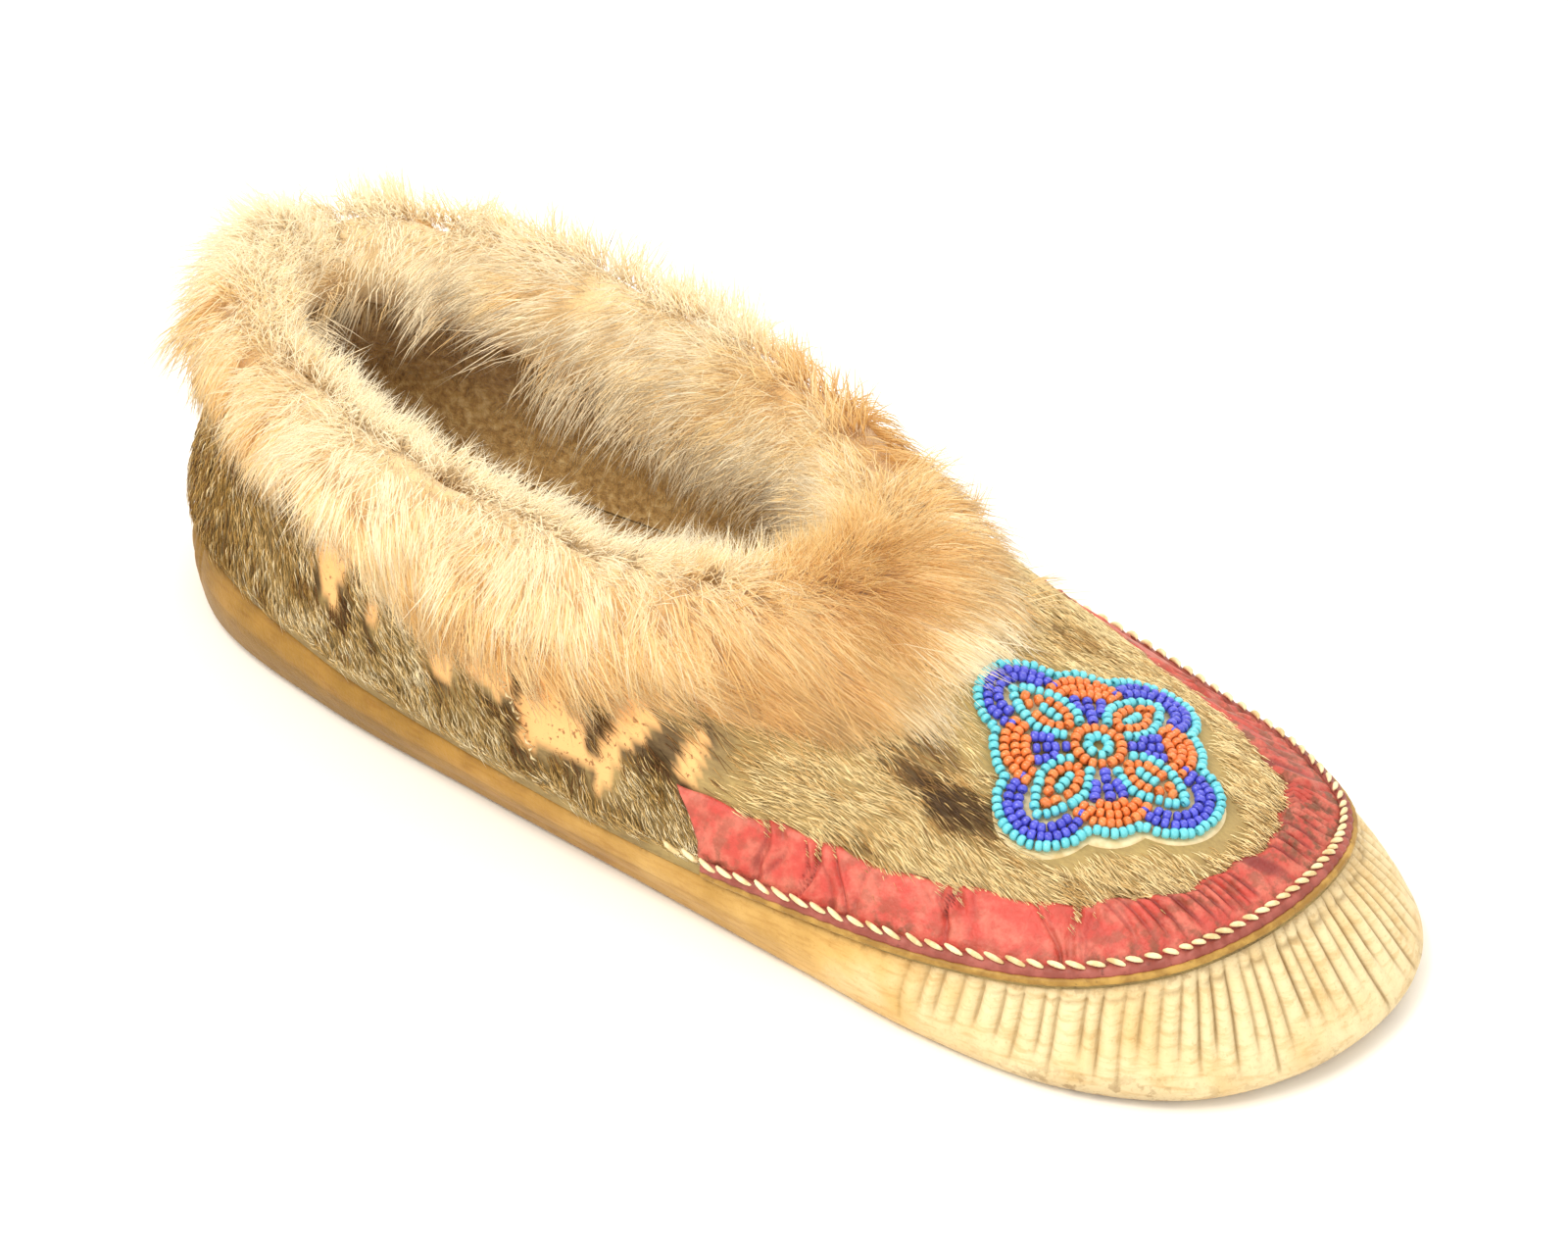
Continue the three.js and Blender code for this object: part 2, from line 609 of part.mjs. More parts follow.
/** The rosette's centre: between the cuff's fringe in front and the band, nearer to the fringe. */
function rosetteCentre() {
  const fringe = cuffDrop(1) + LOCK_LENGTH / 2;
  const foot = 2 * WELT_RADIUS + 2 * CLEARANCE;
  const slack = VAMP_LENGTH - fringe - foot - BAND_TOE_WIDTH - 2 * ROSETTE_RADIUS;
  const behind = COLLAR_BACK + COLLAR_LENGTH + fringe;
  return { x: behind + ROSETTE_PLACE_SHARE * slack + ROSETTE_RADIUS, y: ROSETTE_ASIDE };
}

/** The beaded rosette: its backing and bead layer as one pad that follows the vamp. */
function rosetteGeometry(vamp) {
  const caster = new THREE.Raycaster();
  const down = new THREE.Vector3(0, 0, -1);
  const target = new THREE.Mesh(vamp, new THREE.MeshBasicMaterial({ side: THREE.DoubleSide }));
  const spokes = 56;
  const shares = [0.34, 0.68, 1];
  const skinUnder = (x, y) => {
    caster.set(new THREE.Vector3(x, y, 2 * COLLAR_HEIGHT), down);
    return caster.intersectObject(target)[0].point;
  };
  const { x, y } = rosetteCentre();
  const place = (angle, share, height) => {
    const radius = rosetteRadius(angle) * share;
    const point = skinUnder(x + radius * Math.cos(angle), y + radius * Math.sin(angle));
    return point.addScaledVector(UP, height);
  };
  const seat = CLEARANCE * 2;
  const ring = (share, height) => evenly(spokes, 0, 2 * Math.PI).map((angle) => place(angle, share, height));
  const rings = [
    ...shares.map((share) => ring(share, seat)),
    ...shares.toReversed().map((share) => ring(share, seat + ROSETTE_THICKNESS * (share === 1 ? 0.75 : 1))),
  ];
  const under = rings.length * spokes;
  const over = under + 1;
  const points = [...rings.flat(), place(0, 0, seat), place(0, 0, seat + ROSETTE_THICKNESS)];
  const triangles = skirt(rings.length, spokes);
  const last = (rings.length - 1) * spokes;
  for (let k = 0; k < spokes; k += 1) {
    const next = (k + 1) % spokes;
    triangles.push([under, next, k], [over, last + k, last + next]);
  }
  return solidFrom(points, triangles);
}

function finish(color, roughness) {
  return new THREE.MeshStandardMaterial({ color, roughness, metalness: 0 });
}

function named(name, geometry, material) {
  const mesh = new THREE.Mesh(geometry, material);
  mesh.name = name;
  return mesh;
}

const wasm = await Module();
wasm.setup();

const upper = upperGeometry();
const moccasin = new THREE.Group();
moccasin.add(
  named("sole", soleGeometry(), finish(0xeedba6, 0.8)),
  named("insole", insoleGeometry(), finish(0x8a5a1e, 0.95)),
  named("upper", upper, finish(0xa08a5c, 0.7)),
  named("red_band", bandGeometry(), finish(0xc9545a, 0.65)),
  named("welt", weltGeometry(), finish(0xa98442, 0.6)),
  named("fur_cuff", cuffGeometry(wasm), finish(0xe6c48c, 0.95)),
  named("rosette", rosetteGeometry(upper), finish(0x4aa9c8, 0.4)),
);

export default moccasin;
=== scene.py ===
"""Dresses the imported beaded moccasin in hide, sealskin, leather, fur, felt and glass beads.

Shapes are worked out in millimetres on the foot's own surface, in the frame's axes: +X to the toe, +Y to the
little toe, +Z up. A turn goes from 0 at the heel by the medial side to 1 at the toe, and on to 2 at the heel by
the lateral side. A share goes from 0 at the seam to 1 at the collar.
"""

from __future__ import annotations

import logging
import math
from collections.abc import Callable
from dataclasses import dataclass, field
from enum import Enum

import bpy
import numpy as np
from mathutils import Matrix, Vector
from mathutils.bvhtree import BVHTree


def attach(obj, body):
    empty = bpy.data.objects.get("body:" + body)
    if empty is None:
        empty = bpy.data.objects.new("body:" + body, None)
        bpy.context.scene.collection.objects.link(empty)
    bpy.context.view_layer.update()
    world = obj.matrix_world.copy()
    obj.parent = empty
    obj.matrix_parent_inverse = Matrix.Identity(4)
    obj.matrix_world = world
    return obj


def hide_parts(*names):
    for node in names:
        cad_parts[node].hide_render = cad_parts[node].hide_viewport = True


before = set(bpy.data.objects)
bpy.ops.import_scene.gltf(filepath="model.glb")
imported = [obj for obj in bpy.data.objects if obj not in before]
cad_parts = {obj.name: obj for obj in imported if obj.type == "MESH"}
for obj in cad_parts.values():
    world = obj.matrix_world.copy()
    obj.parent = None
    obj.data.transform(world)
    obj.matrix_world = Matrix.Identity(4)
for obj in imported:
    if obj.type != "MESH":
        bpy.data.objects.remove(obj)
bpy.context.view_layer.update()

log = logging.getLogger("moccasin")

Array = np.ndarray
Row = list[tuple[float, float]]
Material = bpy.types.Material
Piece = bpy.types.Object
Socket = bpy.types.NodeSocket
MM = 0.001
WELD_GAP = 0.004
BODY = "root"
UP = np.array([0.0, 0.0, 1.0])
FORWARD = np.array([1.0, 0.0, 0.0])

# Columns: along, medial, lateral, as shares of the sole's length and the ball's width.
OUTLINE = np.array([
    (0.0, -0.02, 0.02), (0.022, 0.2, 0.23), (0.09, 0.362, 0.345), (0.21, 0.43, 0.4), (0.36, 0.45, 0.455),
    (0.5, 0.46, 0.5), (0.64, 0.472, 0.52), (0.76, 0.478, 0.51), (0.86, 0.438, 0.468), (0.94, 0.325, 0.375),
    (0.985, 0.15, 0.235), (1.0, -0.06, 0.06),
])
# Columns: along, medial, lateral, rise, as shares of the toe's lean and the toe wall's height.
SEAM = np.array([
    (0.0, 0.06, 0.06, 0.68), (0.09, 0.02, 0.02, 0.66), (0.22, -0.05, -0.05, 0.54), (0.36, -0.14, -0.12, 0.5),
    (0.5, -0.16, -0.18, 0.5), (0.64, -0.02, -0.1, 0.54), (0.76, 0.18, 0.22, 0.63), (0.86, 0.44, 0.46, 0.74),
    (0.94, 0.76, 0.74, 0.88), (1.0, 1.0, 1.0, 1.0),
])
# Columns: along, medial, lateral, rise, as shares of the collar's length, width and height.
COLLAR = np.array([
    (0.0, -0.02, 0.02, 1.0), (0.04, 0.2, 0.22, 1.0), (0.15, 0.36, 0.37, 0.98), (0.36, 0.455, 0.46, 0.95),
    (0.6, 0.47, 0.49, 0.91), (0.8, 0.38, 0.42, 0.85), (0.94, 0.2, 0.26, 0.79), (1.0, -0.03, 0.03, 0.77),
])
# Columns: turn, collar, medial and lateral foot angles, top angle, foot pull, top pull.
RUN = np.array([
    (0.0, 0.0, 97, 97, 88, 0.36, 0.34), (0.1, 0.11, 97, 96, 84, 0.36, 0.34), (0.3, 0.35, 92, 90, 70, 0.36, 0.34),
    (0.45, 0.57, 87, 74, 58, 0.35, 0.34), (0.58, 0.74, 66, 52, 42, 0.33, 0.34), (0.7, 0.85, 44, 38, 32, 0.25, 0.36),
    (0.82, 0.92, 32, 30, 26, 0.2, 0.36), (0.92, 0.965, 26, 25, 17, 0.16, 0.36), (1.0, 1.0, 24, 24, 11, 0.16, 0.34),
])
# Columns: turn, side drop as a share of the cuff's drop, front drop as a share of the vamp, fullness.
CUFF_FALL = np.array([
    (0.0, 0.75, 0.0, 1.0), (0.1, 0.5, 0.0, 0.95), (0.2, 0.36, 0.0, 0.85), (0.32, 0.72, 0.0, 0.9),
    (0.42, 1.0, 0.0, 0.9), (0.6, 0.92, 0.02, 0.85), (0.8, 0.45, 0.14, 0.78), (1.0, 0.0, 0.21, 0.72),
])
# Columns: turn right round, crest rise, then in mm the inner hem's depth and fullness, and the length of the hair
# inside, on the crest and outside.
FUR_FORM = np.array([
    (0.0, 1.75, 10, 4.5, 14, 13, 21), (0.05, 1.6, 10, 4.5, 13, 13, 20), (0.14, 1.15, 9, 4.0, 10, 11, 15),
    (0.26, 1.15, 9, 4.0, 10, 11, 15), (0.4, 1.15, 9, 4.0, 10, 11, 17), (0.6, 1.2, 9, 3.6, 9, 11, 18),
    (0.74, 1.15, 11, 5.5, 15, 13, 22), (0.84, 1.1, 15, 8.0, 19, 13, 25), (1.0, 1.0, 20, 10.5, 24, 13, 22),
    (1.15, 1.0, 26, 12.0, 24, 12, 17), (1.35, 1.1, 28, 12.5, 21, 11, 14), (1.6, 1.35, 25, 11.0, 20, 12, 14),
    (1.76, 1.35, 19, 8.5, 18, 11, 14), (1.88, 1.0, 13, 5.5, 14, 10, 14), (1.95, 1.2, 10, 4.5, 12, 11, 16),
    (2.0, 1.75, 10, 4.5, 14, 13, 21),
])
# Where the sole's section turns, on the way from the middle of its underside to the middle of its floor: onto the
# round edge, up the wall, over the rim, down the inside and onto the floor.
FLAT_END, ROUND_END, WALL_END, STITCHES, RIM_END, INSIDE_END, HOLLOW_END = 0.1, 0.21, 0.6, 0.63, 0.68, 0.86, 0.94
# Columns: name, first and last turn, first and last place over the bed, how many locks, how many hairs in each, random
# seed, and how many points a hair has.
FUR_LOCKS = (
    ("fur_medial", (0.0, 0.76), (0.48, 0.97), 370, 36, 121, 4),
    ("fur_lateral", (1.26, 2.0), (0.5, 0.97), 160, 30, 122, 4),
    ("fur_front", (0.74, 1.28), (0.46, 0.97), 190, 34, 123, 4),
    ("fur_crest", (0.0, 2.0), (0.28, 0.54), 600, 28, 124, 3),
    ("fur_inside", (0.0, 2.0), (0.03, 0.34), 230, 30, 125, 4),
)
# Worn bare patches on the quarters, in mm: along, height, half length and half height, and how ragged.
WORN = (
    (-74.5, 39.5, 4.2, 11.0, 0.7), (-63.0, 32.0, 1.5, 4.0, 0.5), (-44.6, 31.5, 3.4, 5.2, 0.6),
    (-33.5, 34.0, 6.4, 4.8, 0.8), (-20.5, 31.0, 5.2, 9.5, 0.6), (-13.0, 28.8, 4.2, 4.6, 0.9),
    (-2.0, 36.0, 5.0, 4.4, 0.6), (-5.0, 28.0, 2.3, 6.8, 0.5), (11.2, 33.0, 2.2, 4.1, 0.2),
)
# Dark patches of the sealskin, in mm: a point, its radius and how dark. The last five are on the lateral side.
DARK = (
    ((-114, -28, 30), 15, 0.5), ((-104, -32, 46), 10, 0.6), ((-82, -40, 30), 5, 0.75), ((-28, -44, 30), 3.0, 0.8),
    ((-9, -44, 33), 5.0, 0.8), ((5, -43, 33), 6.0, 0.8), ((5, -44, 27), 3.5, 0.55), ((15, -40, 35), 6, 0.35),
    ((44, -22, 35), 5.5, 0.75), ((53, -22, 34), 6, 0.95), ((60, -22, 33), 4, 0.75), ((45, -17, 37), 3.6, 0.7),
    ((30, -33, 34), 4, 0.3), ((70, -26, 29), 4, 0.4), ((44, -38, 29), 5, 0.45), ((80, -24, 27), 5, 0.4),
    ((99, -6, 26), 4, 0.45), ((-108, 32, 32), 15, 0.6), ((-64, 42, 30), 8, 0.55), ((-20, 46, 30), 9, 0.6),
    ((22, 44, 28), 6, 0.45), ((45, 30, 34), 5, 0.4),
)
ROSETTE_CENTRE = np.array([70.5, 2.0])
ROSETTE_RADIUS = 26.2


class Side(Enum):
    """The two sides of the foot, as the tables' columns count them."""

    MEDIAL = 1
    LATERAL = 2


def column_at(table: Array, place: Array, column: int) -> Array:
    """Reads one column of a table between its rows, along a smooth curve through them.

    Args:
        table: rows whose first column rises.
        place: places in the first column.
        column: the column to read.

    Returns:
        The column's values at the places.
    """
    x, y = table[:, 0], table[:, column]
    slopes = np.empty(len(x))
    slopes[1:-1] = (y[2:] - y[:-2]) / (x[2:] - x[:-2])
    slopes[0] = (y[1] - y[0]) / (x[1] - x[0])
    slopes[-1] = (y[-1] - y[-2]) / (x[-1] - x[-2])
    held = np.clip(place, x[0], x[-1])
    i = np.clip(np.searchsorted(x, held, side="right") - 1, 0, len(x) - 2)
    span = x[i + 1] - x[i]
    t = (held - x[i]) / span
    t2, t3 = t * t, t * t * t
    return (
        (2 * t3 - 3 * t2 + 1) * y[i]
        + (t3 - 2 * t2 + t) * span * slopes[i]
        + (3 * t2 - 2 * t3) * y[i + 1]
        + (t3 - t2) * span * slopes[i + 1]
    )


def unit(vectors: Array) -> Array:
    """The vectors at length one."""
    return vectors / np.maximum(np.linalg.norm(vectors, axis=-1, keepdims=True), 1e-9)


def smooth(low: float, high: float, value: Array) -> Array:
    """A soft step from 0 at low to 1 at high."""
    t = np.clip((value - low) / (high - low), 0, 1)
    return t * t * (3 - 2 * t)


def mottle(points: Array, size: float, seed: int) -> Array:
    """Soft random patches in space.

    Args:
        points: (..., 3) places in mm.
        size: how far apart the patches lie, in mm.
        seed: which random field.

    Returns:
        Values from 0 to 1, smooth from place to place.
    """
    cells = 37
    lattice = np.random.default_rng(seed).random((cells, cells, cells))
    place = np.asarray(points) / size + 500.0
    low = np.floor(place).astype(int)
    t = place - low
    t = t * t * (3 - 2 * t)
    total = np.zeros(place.shape[:-1])
    for corner in range(8):
        step = np.array([corner & 1, corner >> 1 & 1, corner >> 2 & 1])
        weight = np.prod(np.where(step, t, 1 - t), axis=-1)
        i = (low + step) % cells
        total += weight * lattice[i[..., 0], i[..., 1], i[..., 2]]
    return total


def through(points: Array, places: Array) -> Array:
    """A smooth curve through points, evenly numbered from 0 to 1.

    Args:
        points: (..., k, 3) points on the way.
        places: (..., ) places on the curve, one for each leading row.

    Returns:
        (..., 3) points of the curve.
    """
    count = points.shape[-2]
    held = np.clip(places, 0, 1) * (count - 1)
    i = np.minimum(np.floor(held).astype(int), count - 2)
    t = (held - i)[..., None]

    def pick(step: int) -> Array:
        """The points some steps on from each place."""
        index = np.clip(i + step, 0, count - 1)[..., None, None]
        return np.take_along_axis(points, np.broadcast_to(index, (*index.shape[:-1], 3)), axis=-2)[..., 0, :]

    a, b, c, d = pick(-1), pick(0), pick(1), pick(2)
    return 0.5 * (2 * b + (c - a) * t + (2 * a - 5 * b + 4 * c - d) * t**2 + (3 * b - a - 3 * c + d) * t**3)


def halfway(turn: Array) -> Array:
    """How far along from heel to toe a turn is, whichever side it is on."""
    around = np.mod(turn, 2.0)
    return np.where(around <= 1, around, 2 - around)


def on_charts(charts: tuple[Array, ...], turn: Array, share: Array) -> list[Array]:
    """Reads charts of a form between their points.

    Args:
        charts: (turns, shares, 3) tables, evenly spaced from turn 0 to 2 and from share 0 to 1.
        turn: where to read them round the foot.
        share: where to read them across.

    Returns:
        The values read from each chart.
    """
    turns, shares = (size - 1 for size in charts[0].shape[:2])
    u = np.mod(turn, 2.0) / 2 * turns
    v = np.clip(share, 0, 1) * shares
    i = np.minimum(u.astype(int), turns - 1)
    j = np.minimum(v.astype(int), shares - 1)
    a, b = (u - i)[..., None], (v - j)[..., None]
    values = []
    for chart in charts:
        low = chart[i, j] * (1 - a) + chart[i + 1, j] * a
        values.append(low * (1 - b) + (chart[i, j + 1] * (1 - a) + chart[i + 1, j + 1] * a) * b)
    return values


def distances(line: Array) -> Array:
    """How far along a line each of its points lies."""
    return np.concatenate([[0], np.cumsum(np.linalg.norm(np.diff(line, axis=0), axis=1))])


def on_line(line: Array, gone: Array, places: Array) -> Array:
    """Level points at places along a line, whose points lie as far along it as gone says."""
    return np.stack([np.interp(places, gone, line[:, k]) for k in range(2)], 1)


def flower_edge(angle: Array) -> Array:
    """How far the rosette's scalloped edge lies from its centre: four lobes on the axes and four between them.

    Args:
        angle: directions from the centre, in radians.

    Returns:
        The distances in mm.
    """
    furthest = np.zeros_like(angle)
    for first, reach, size in ((0.0, 0.626, 0.374), (math.pi / 4, 0.358, 0.42)):
        for k in range(4):
            away = angle - first - k * math.pi / 2
            off = reach * np.sin(away)
            inside = (np.cos(away) > 0) & (np.abs(off) < size)
            far = reach * np.cos(away) + np.sqrt(np.maximum(size**2 - off**2, 0))
            furthest = np.maximum(furthest, np.where(inside, far, 0))
    return ROSETTE_RADIUS * furthest


class Loop:
    """A closed line round the foot, measured by its turn."""

    def __init__(self, table: Array, length: float, width: float, back: float) -> None:
        """Lays a centripetal curve through a table's sides.

        Args:
            table: along, medial and lateral columns.
            length: what along is a share of.
            width: what the sides are shares of.
            back: where along is 0.
        """
        side = table[1:-1]
        ends = [(back + row[0] * length, (row[2] - row[1]) / 2 * width) for row in (table[0], table[-1])]
        medial = np.stack([back + side[:, 0] * length, -side[:, 1] * width], 1)
        lateral = np.stack([back + side[:, 0] * length, side[:, 2] * width], 1)[::-1]
        points = np.concatenate([[ends[0]], medial, [ends[1]], lateral])
        steps = 8000
        place = np.linspace(0, 1, steps + 1) * len(points)
        i = np.minimum(np.floor(place).astype(int), len(points) - 1)
        w = (place - i)[:, None]
        p = [points[(i + k) % len(points)] for k in (-1, 0, 1, 2)]
        gaps = [np.sqrt(np.linalg.norm(p[k + 1] - p[k], axis=1))[:, None] for k in range(3)]
        leave = (p[1] - p[0]) / gaps[0] - (p[2] - p[0]) / (gaps[0] + gaps[1]) + (p[2] - p[1]) / gaps[1]
        reach = (p[2] - p[1]) / gaps[1] - (p[3] - p[1]) / (gaps[1] + gaps[2]) + (p[3] - p[2]) / gaps[2]
        leave, reach = leave * gaps[1], reach * gaps[1]
        bend = -3 * p[1] + 3 * p[2] - 2 * leave - reach
        self.line = p[1] + leave * w + bend * w**2 + (2 * p[1] - 2 * p[2] + leave + reach) * w**3
        gone = distances(self.line)
        self.length = gone[-1]
        self.shares = gone / self.length
        self.toe_share = self.shares[steps // 2]

    def _at_share(self, share: Array) -> Array:
        """Points at shares of the whole length.

        Args:
            share: shares of the whole length.

        Returns:
            (..., 3) points in mm.
        """
        share = np.mod(share, 1.0)
        xy = [np.interp(share, self.shares, self.line[:, k]) for k in range(2)]
        return np.stack([*xy, np.zeros_like(xy[0])], -1)

    def share_of(self, turn: Array) -> Array:
        """The share of the whole length at a turn."""
        around = np.mod(turn, 2.0)
        return np.where(around <= 1, around * self.toe_share, self.toe_share + (around - 1) * (1 - self.toe_share))

    def at(self, turn: Array) -> Array:
        """Points of the line."""
        return self._at_share(self.share_of(turn))

    def inward(self, turn: Array) -> Array:
        """Level directions inwards, square to the line.

        Args:
            turn: places round the foot.

        Returns:
            (..., 3) directions of length one.
        """
        share = self.share_of(turn)
        along = unit(self._at_share(share + 2e-4) - self._at_share(share - 2e-4))
        return np.stack([-along[..., 1], along[..., 0], along[..., 2] * 0], -1)


@dataclass
class FootForm:
    """The foot's own surface from seam to collar, in mm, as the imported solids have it."""

    sole_length: float = 266.0
    ball_width: float = 100.0
    toe_wall_height: float = 26.0
    toe_lean: float = 16.0
    toe_spring: float = 2.0
    vamp_length: float = 102.0
    heel_lean: float = 12.0
    collar_width: float = 72.0
    collar_height: float = 60.0
    clearance: float = 0.3
    turn_steps: int = 1200
    share_steps: int = 96

    def __post_init__(self) -> None:
        """Charts the surface, so that any place on it can be looked up."""
        self.collar_back = self.heel_lean - self.sole_length / 2
        self.collar_length = self.sole_length - self.heel_lean - self.vamp_length - self.toe_lean
        self.sole_edge = Loop(OUTLINE, self.sole_length, self.ball_width, -self.sole_length / 2)
        self.collar_edge = Loop(COLLAR, self.collar_length, self.collar_width, self.collar_back)
        turns = np.linspace(0, 2, self.turn_steps + 1)
        shares = np.linspace(0, 1, self.share_steps + 1)
        self.points, self.ups, self.lengths = self._runs(turns, shares)
        along = self._runs(turns + 0.004, shares)[0] - self._runs(turns - 0.004, shares)[0]
        self.normals = unit(np.cross(along, self.ups))

    @staticmethod
    def _pick(table: Array, turn: Array, at: Array, medial: int) -> Array:
        """Reads the column of whichever side a turn is on. The lateral one is next to the medial one."""
        return np.where(np.mod(turn, 2.0) <= 1, column_at(table, at, medial), column_at(table, at, medial + 1))

    def seam(self, turn: Array) -> Array:
        """The sole wall's top outer edge.

        Args:
            turn: places round the foot.

        Returns:
            (..., 3) points in mm.
        """
        edge = self.sole_edge.at(turn)
        along = edge[..., 0] / self.sole_length + 0.5
        inset = self.toe_lean * self._pick(SEAM, turn, along, 1)
        edge = edge + self.sole_edge.inward(turn) * inset[..., None]
        rise = column_at(SEAM, (edge[..., 0] + inset * 0.5) / self.sole_length + 0.5, 3)
        edge[..., 2] = self.toe_wall_height * rise
        return edge

    def _runs(self, turns: Array, shares: Array) -> tuple[Array, Array, Array]:
        """Points, upward directions and lengths of the lines from seam to collar.

        Args:
            turns: where the lines start round the foot.
            shares: where to read each line.

        Returns:
            The points, the directions and each line's length.
        """
        half = halfway(turns)
        collar_share = column_at(RUN, half, 1)
        collar_turn = np.where(np.mod(turns, 2.0) <= 1, collar_share, 2 - collar_share)
        top = self.collar_edge.at(collar_turn)
        top[:, 2] = self.collar_height * column_at(COLLAR, (top[:, 0] - self.collar_back) / self.collar_length, 3)
        foot = self.seam(turns) + UP * self.clearance
        chord = np.linalg.norm(top - foot, axis=1)[:, None]

        def slope(inward: Array, degrees: Array) -> Array:
            """Directions that rise by an angle from level ones."""
            angle = np.radians(degrees)[:, None]
            return inward * np.cos(angle) + UP * np.sin(angle)

        lean = slope(self.sole_edge.inward(turns), self._pick(RUN, turns, half, 2))
        top_lean = slope(self.collar_edge.inward(collar_turn), column_at(RUN, half, 4))
        pulls = [column_at(RUN, half, column)[:, None] * chord for column in (5, 6)]
        handles = np.stack([foot, foot + lean * pulls[0], top - top_lean * pulls[1], top], 1)
        t = np.linspace(0, 1, 81)
        line = np.einsum("tk,nkc->ntc", self._weights(t), handles)
        gone = np.cumsum(np.linalg.norm(np.diff(line, axis=1), axis=2), axis=1)
        gone = np.concatenate([np.zeros((len(turns), 1)), gone], 1)
        held = np.stack([np.interp(shares * row[-1], row, t) for row in gone])
        points = np.einsum("nmk,nkc->nmc", self._weights(held), handles)
        sides = np.diff(handles, axis=1)
        slopes = np.stack([(1 - held) ** 2, 2 * held * (1 - held), held**2], -1)
        return points, unit(np.einsum("nmk,nkc->nmc", slopes, sides)), gone[:, -1]

    @staticmethod
    def _weights(t: Array) -> Array:
        """The four weights of a Bezier line."""
        return np.stack([(1 - t) ** 3, 3 * t * (1 - t) ** 2, 3 * t * t * (1 - t), t**3], -1)

    def length_at(self, turn: Array) -> Array:
        """The distance from seam to collar up the skin."""
        return np.interp(np.mod(turn, 2.0), np.linspace(0, 2, self.turn_steps + 1), self.lengths)

    def skin(self, turn: Array, share: Array) -> tuple[Array, Array, Array]:
        """Points on the skin with their outward and upward directions."""
        points, normals, ups = on_charts((self.points, self.normals, self.ups), turn, share)
        return points, unit(normals), unit(ups)

    def off(self, turn: Array, distance: Array, height: Array, from_collar: bool = False) -> Array:
        """Points a distance from the seam up the skin, or down it from the collar, and a height off it.

        Args:
            turn: places round the foot.
            distance: how far up or down the skin, in mm.
            height: how far off the skin, in mm.
            from_collar: whether the distance is down from the collar.

        Returns:
            (..., 3) points in mm.
        """
        length = self.length_at(turn)
        share = (length - distance if from_collar else distance) / length
        point, normal, _ = self.skin(turn, share)
        return point + normal * np.broadcast_to(height, point.shape[:-1])[..., None]

    def spring(self, x: Array) -> Array:
        """How far the toe's underside lifts off the floor."""
        return self.toe_spring * np.clip((x / self.sole_length + 0.5 - 0.8) / 0.2, 0, 1) ** 2


def write_points(piece: Piece, points: Array) -> None:
    """Sets a mesh's points, given in mm."""
    piece.data.vertices.foreach_set("co", (points * MM).astype(np.float32).ravel())


def mark(piece: Piece, marks: dict[str, Array]) -> None:
    """Stores values that the finishes read, one for each point of a mesh.

    Args:
        piece: the mesh.
        marks: values by the attribute's name.
    """
    for name, values in marks.items():
        attribute = piece.data.attributes.new(name, "FLOAT", "POINT")
        attribute.data.foreach_set("value", np.broadcast_to(values, len(piece.data.vertices)).astype(np.float32))


def select(piece: Piece) -> None:
    """Selects one piece alone and makes it the active one.

    Args:
        piece: the piece.
    """
    bpy.ops.object.select_all(action="DESELECT")
    bpy.context.view_layer.objects.active = piece
    piece.select_set(True)


def weld(piece: Piece) -> None:
    """Merges points that meet and shades the piece smooth.

    Args:
        piece: the mesh.
    """
    select(piece)
    bpy.ops.object.mode_set(mode="EDIT")
    bpy.ops.mesh.select_all(action="SELECT")
    bpy.ops.mesh.remove_doubles(threshold=WELD_GAP * MM)
    bpy.ops.mesh.dissolve_degenerate(threshold=1e-6)
    bpy.ops.object.mode_set(mode="OBJECT")
    bpy.ops.object.shade_smooth()


def shaped_grid(
    name: str,
    around: int,
    across: int,
    place: Callable[[Array, Array], Array],
    marks: Callable[[Array, Array, Array], dict[str, Array]] | None = None,
) -> Piece:
    """Makes a sheet or shell from a grid primitive whose points are laid on a form.

    Args:
        name: the piece's name.
        around: its steps along the first way.
        across: its steps along the second way.
        place: gives a point in mm for each pair of shares.
        marks: gives the values that its finish reads.

    Returns:
        The welded piece.
    """
    bpy.ops.object.select_all(action="DESELECT")
    bpy.ops.mesh.primitive_grid_add(x_subdivisions=around, y_subdivisions=across, size=1)
    piece = bpy.context.object
    piece.name = piece.data.name = name
    flat = np.empty(len(piece.data.vertices) * 3, np.float32)
    piece.data.vertices.foreach_get("co", flat)
    u, v = (flat.reshape(-1, 3)[:, k].astype(float) + 0.5 for k in range(2))
    points = place(u, v)
    write_points(piece, points)
    if marks:
        mark(piece, marks(u, v, points))
    weld(piece)
    return piece


def apply_modifier(piece: Piece, kind: str, **settings: float | int | str | bool) -> None:
    """Adds a modifier with its settings and applies it.

    Args:
        piece: the mesh.
        kind: the modifier's type.
        settings: the modifier's own properties.
    """
    select(piece)
    modifier = piece.modifiers.new(kind.title(), kind)
    for key, value in settings.items():
        setattr(modifier, key, value)
    bpy.ops.object.modifier_apply(modifier=modifier.name)


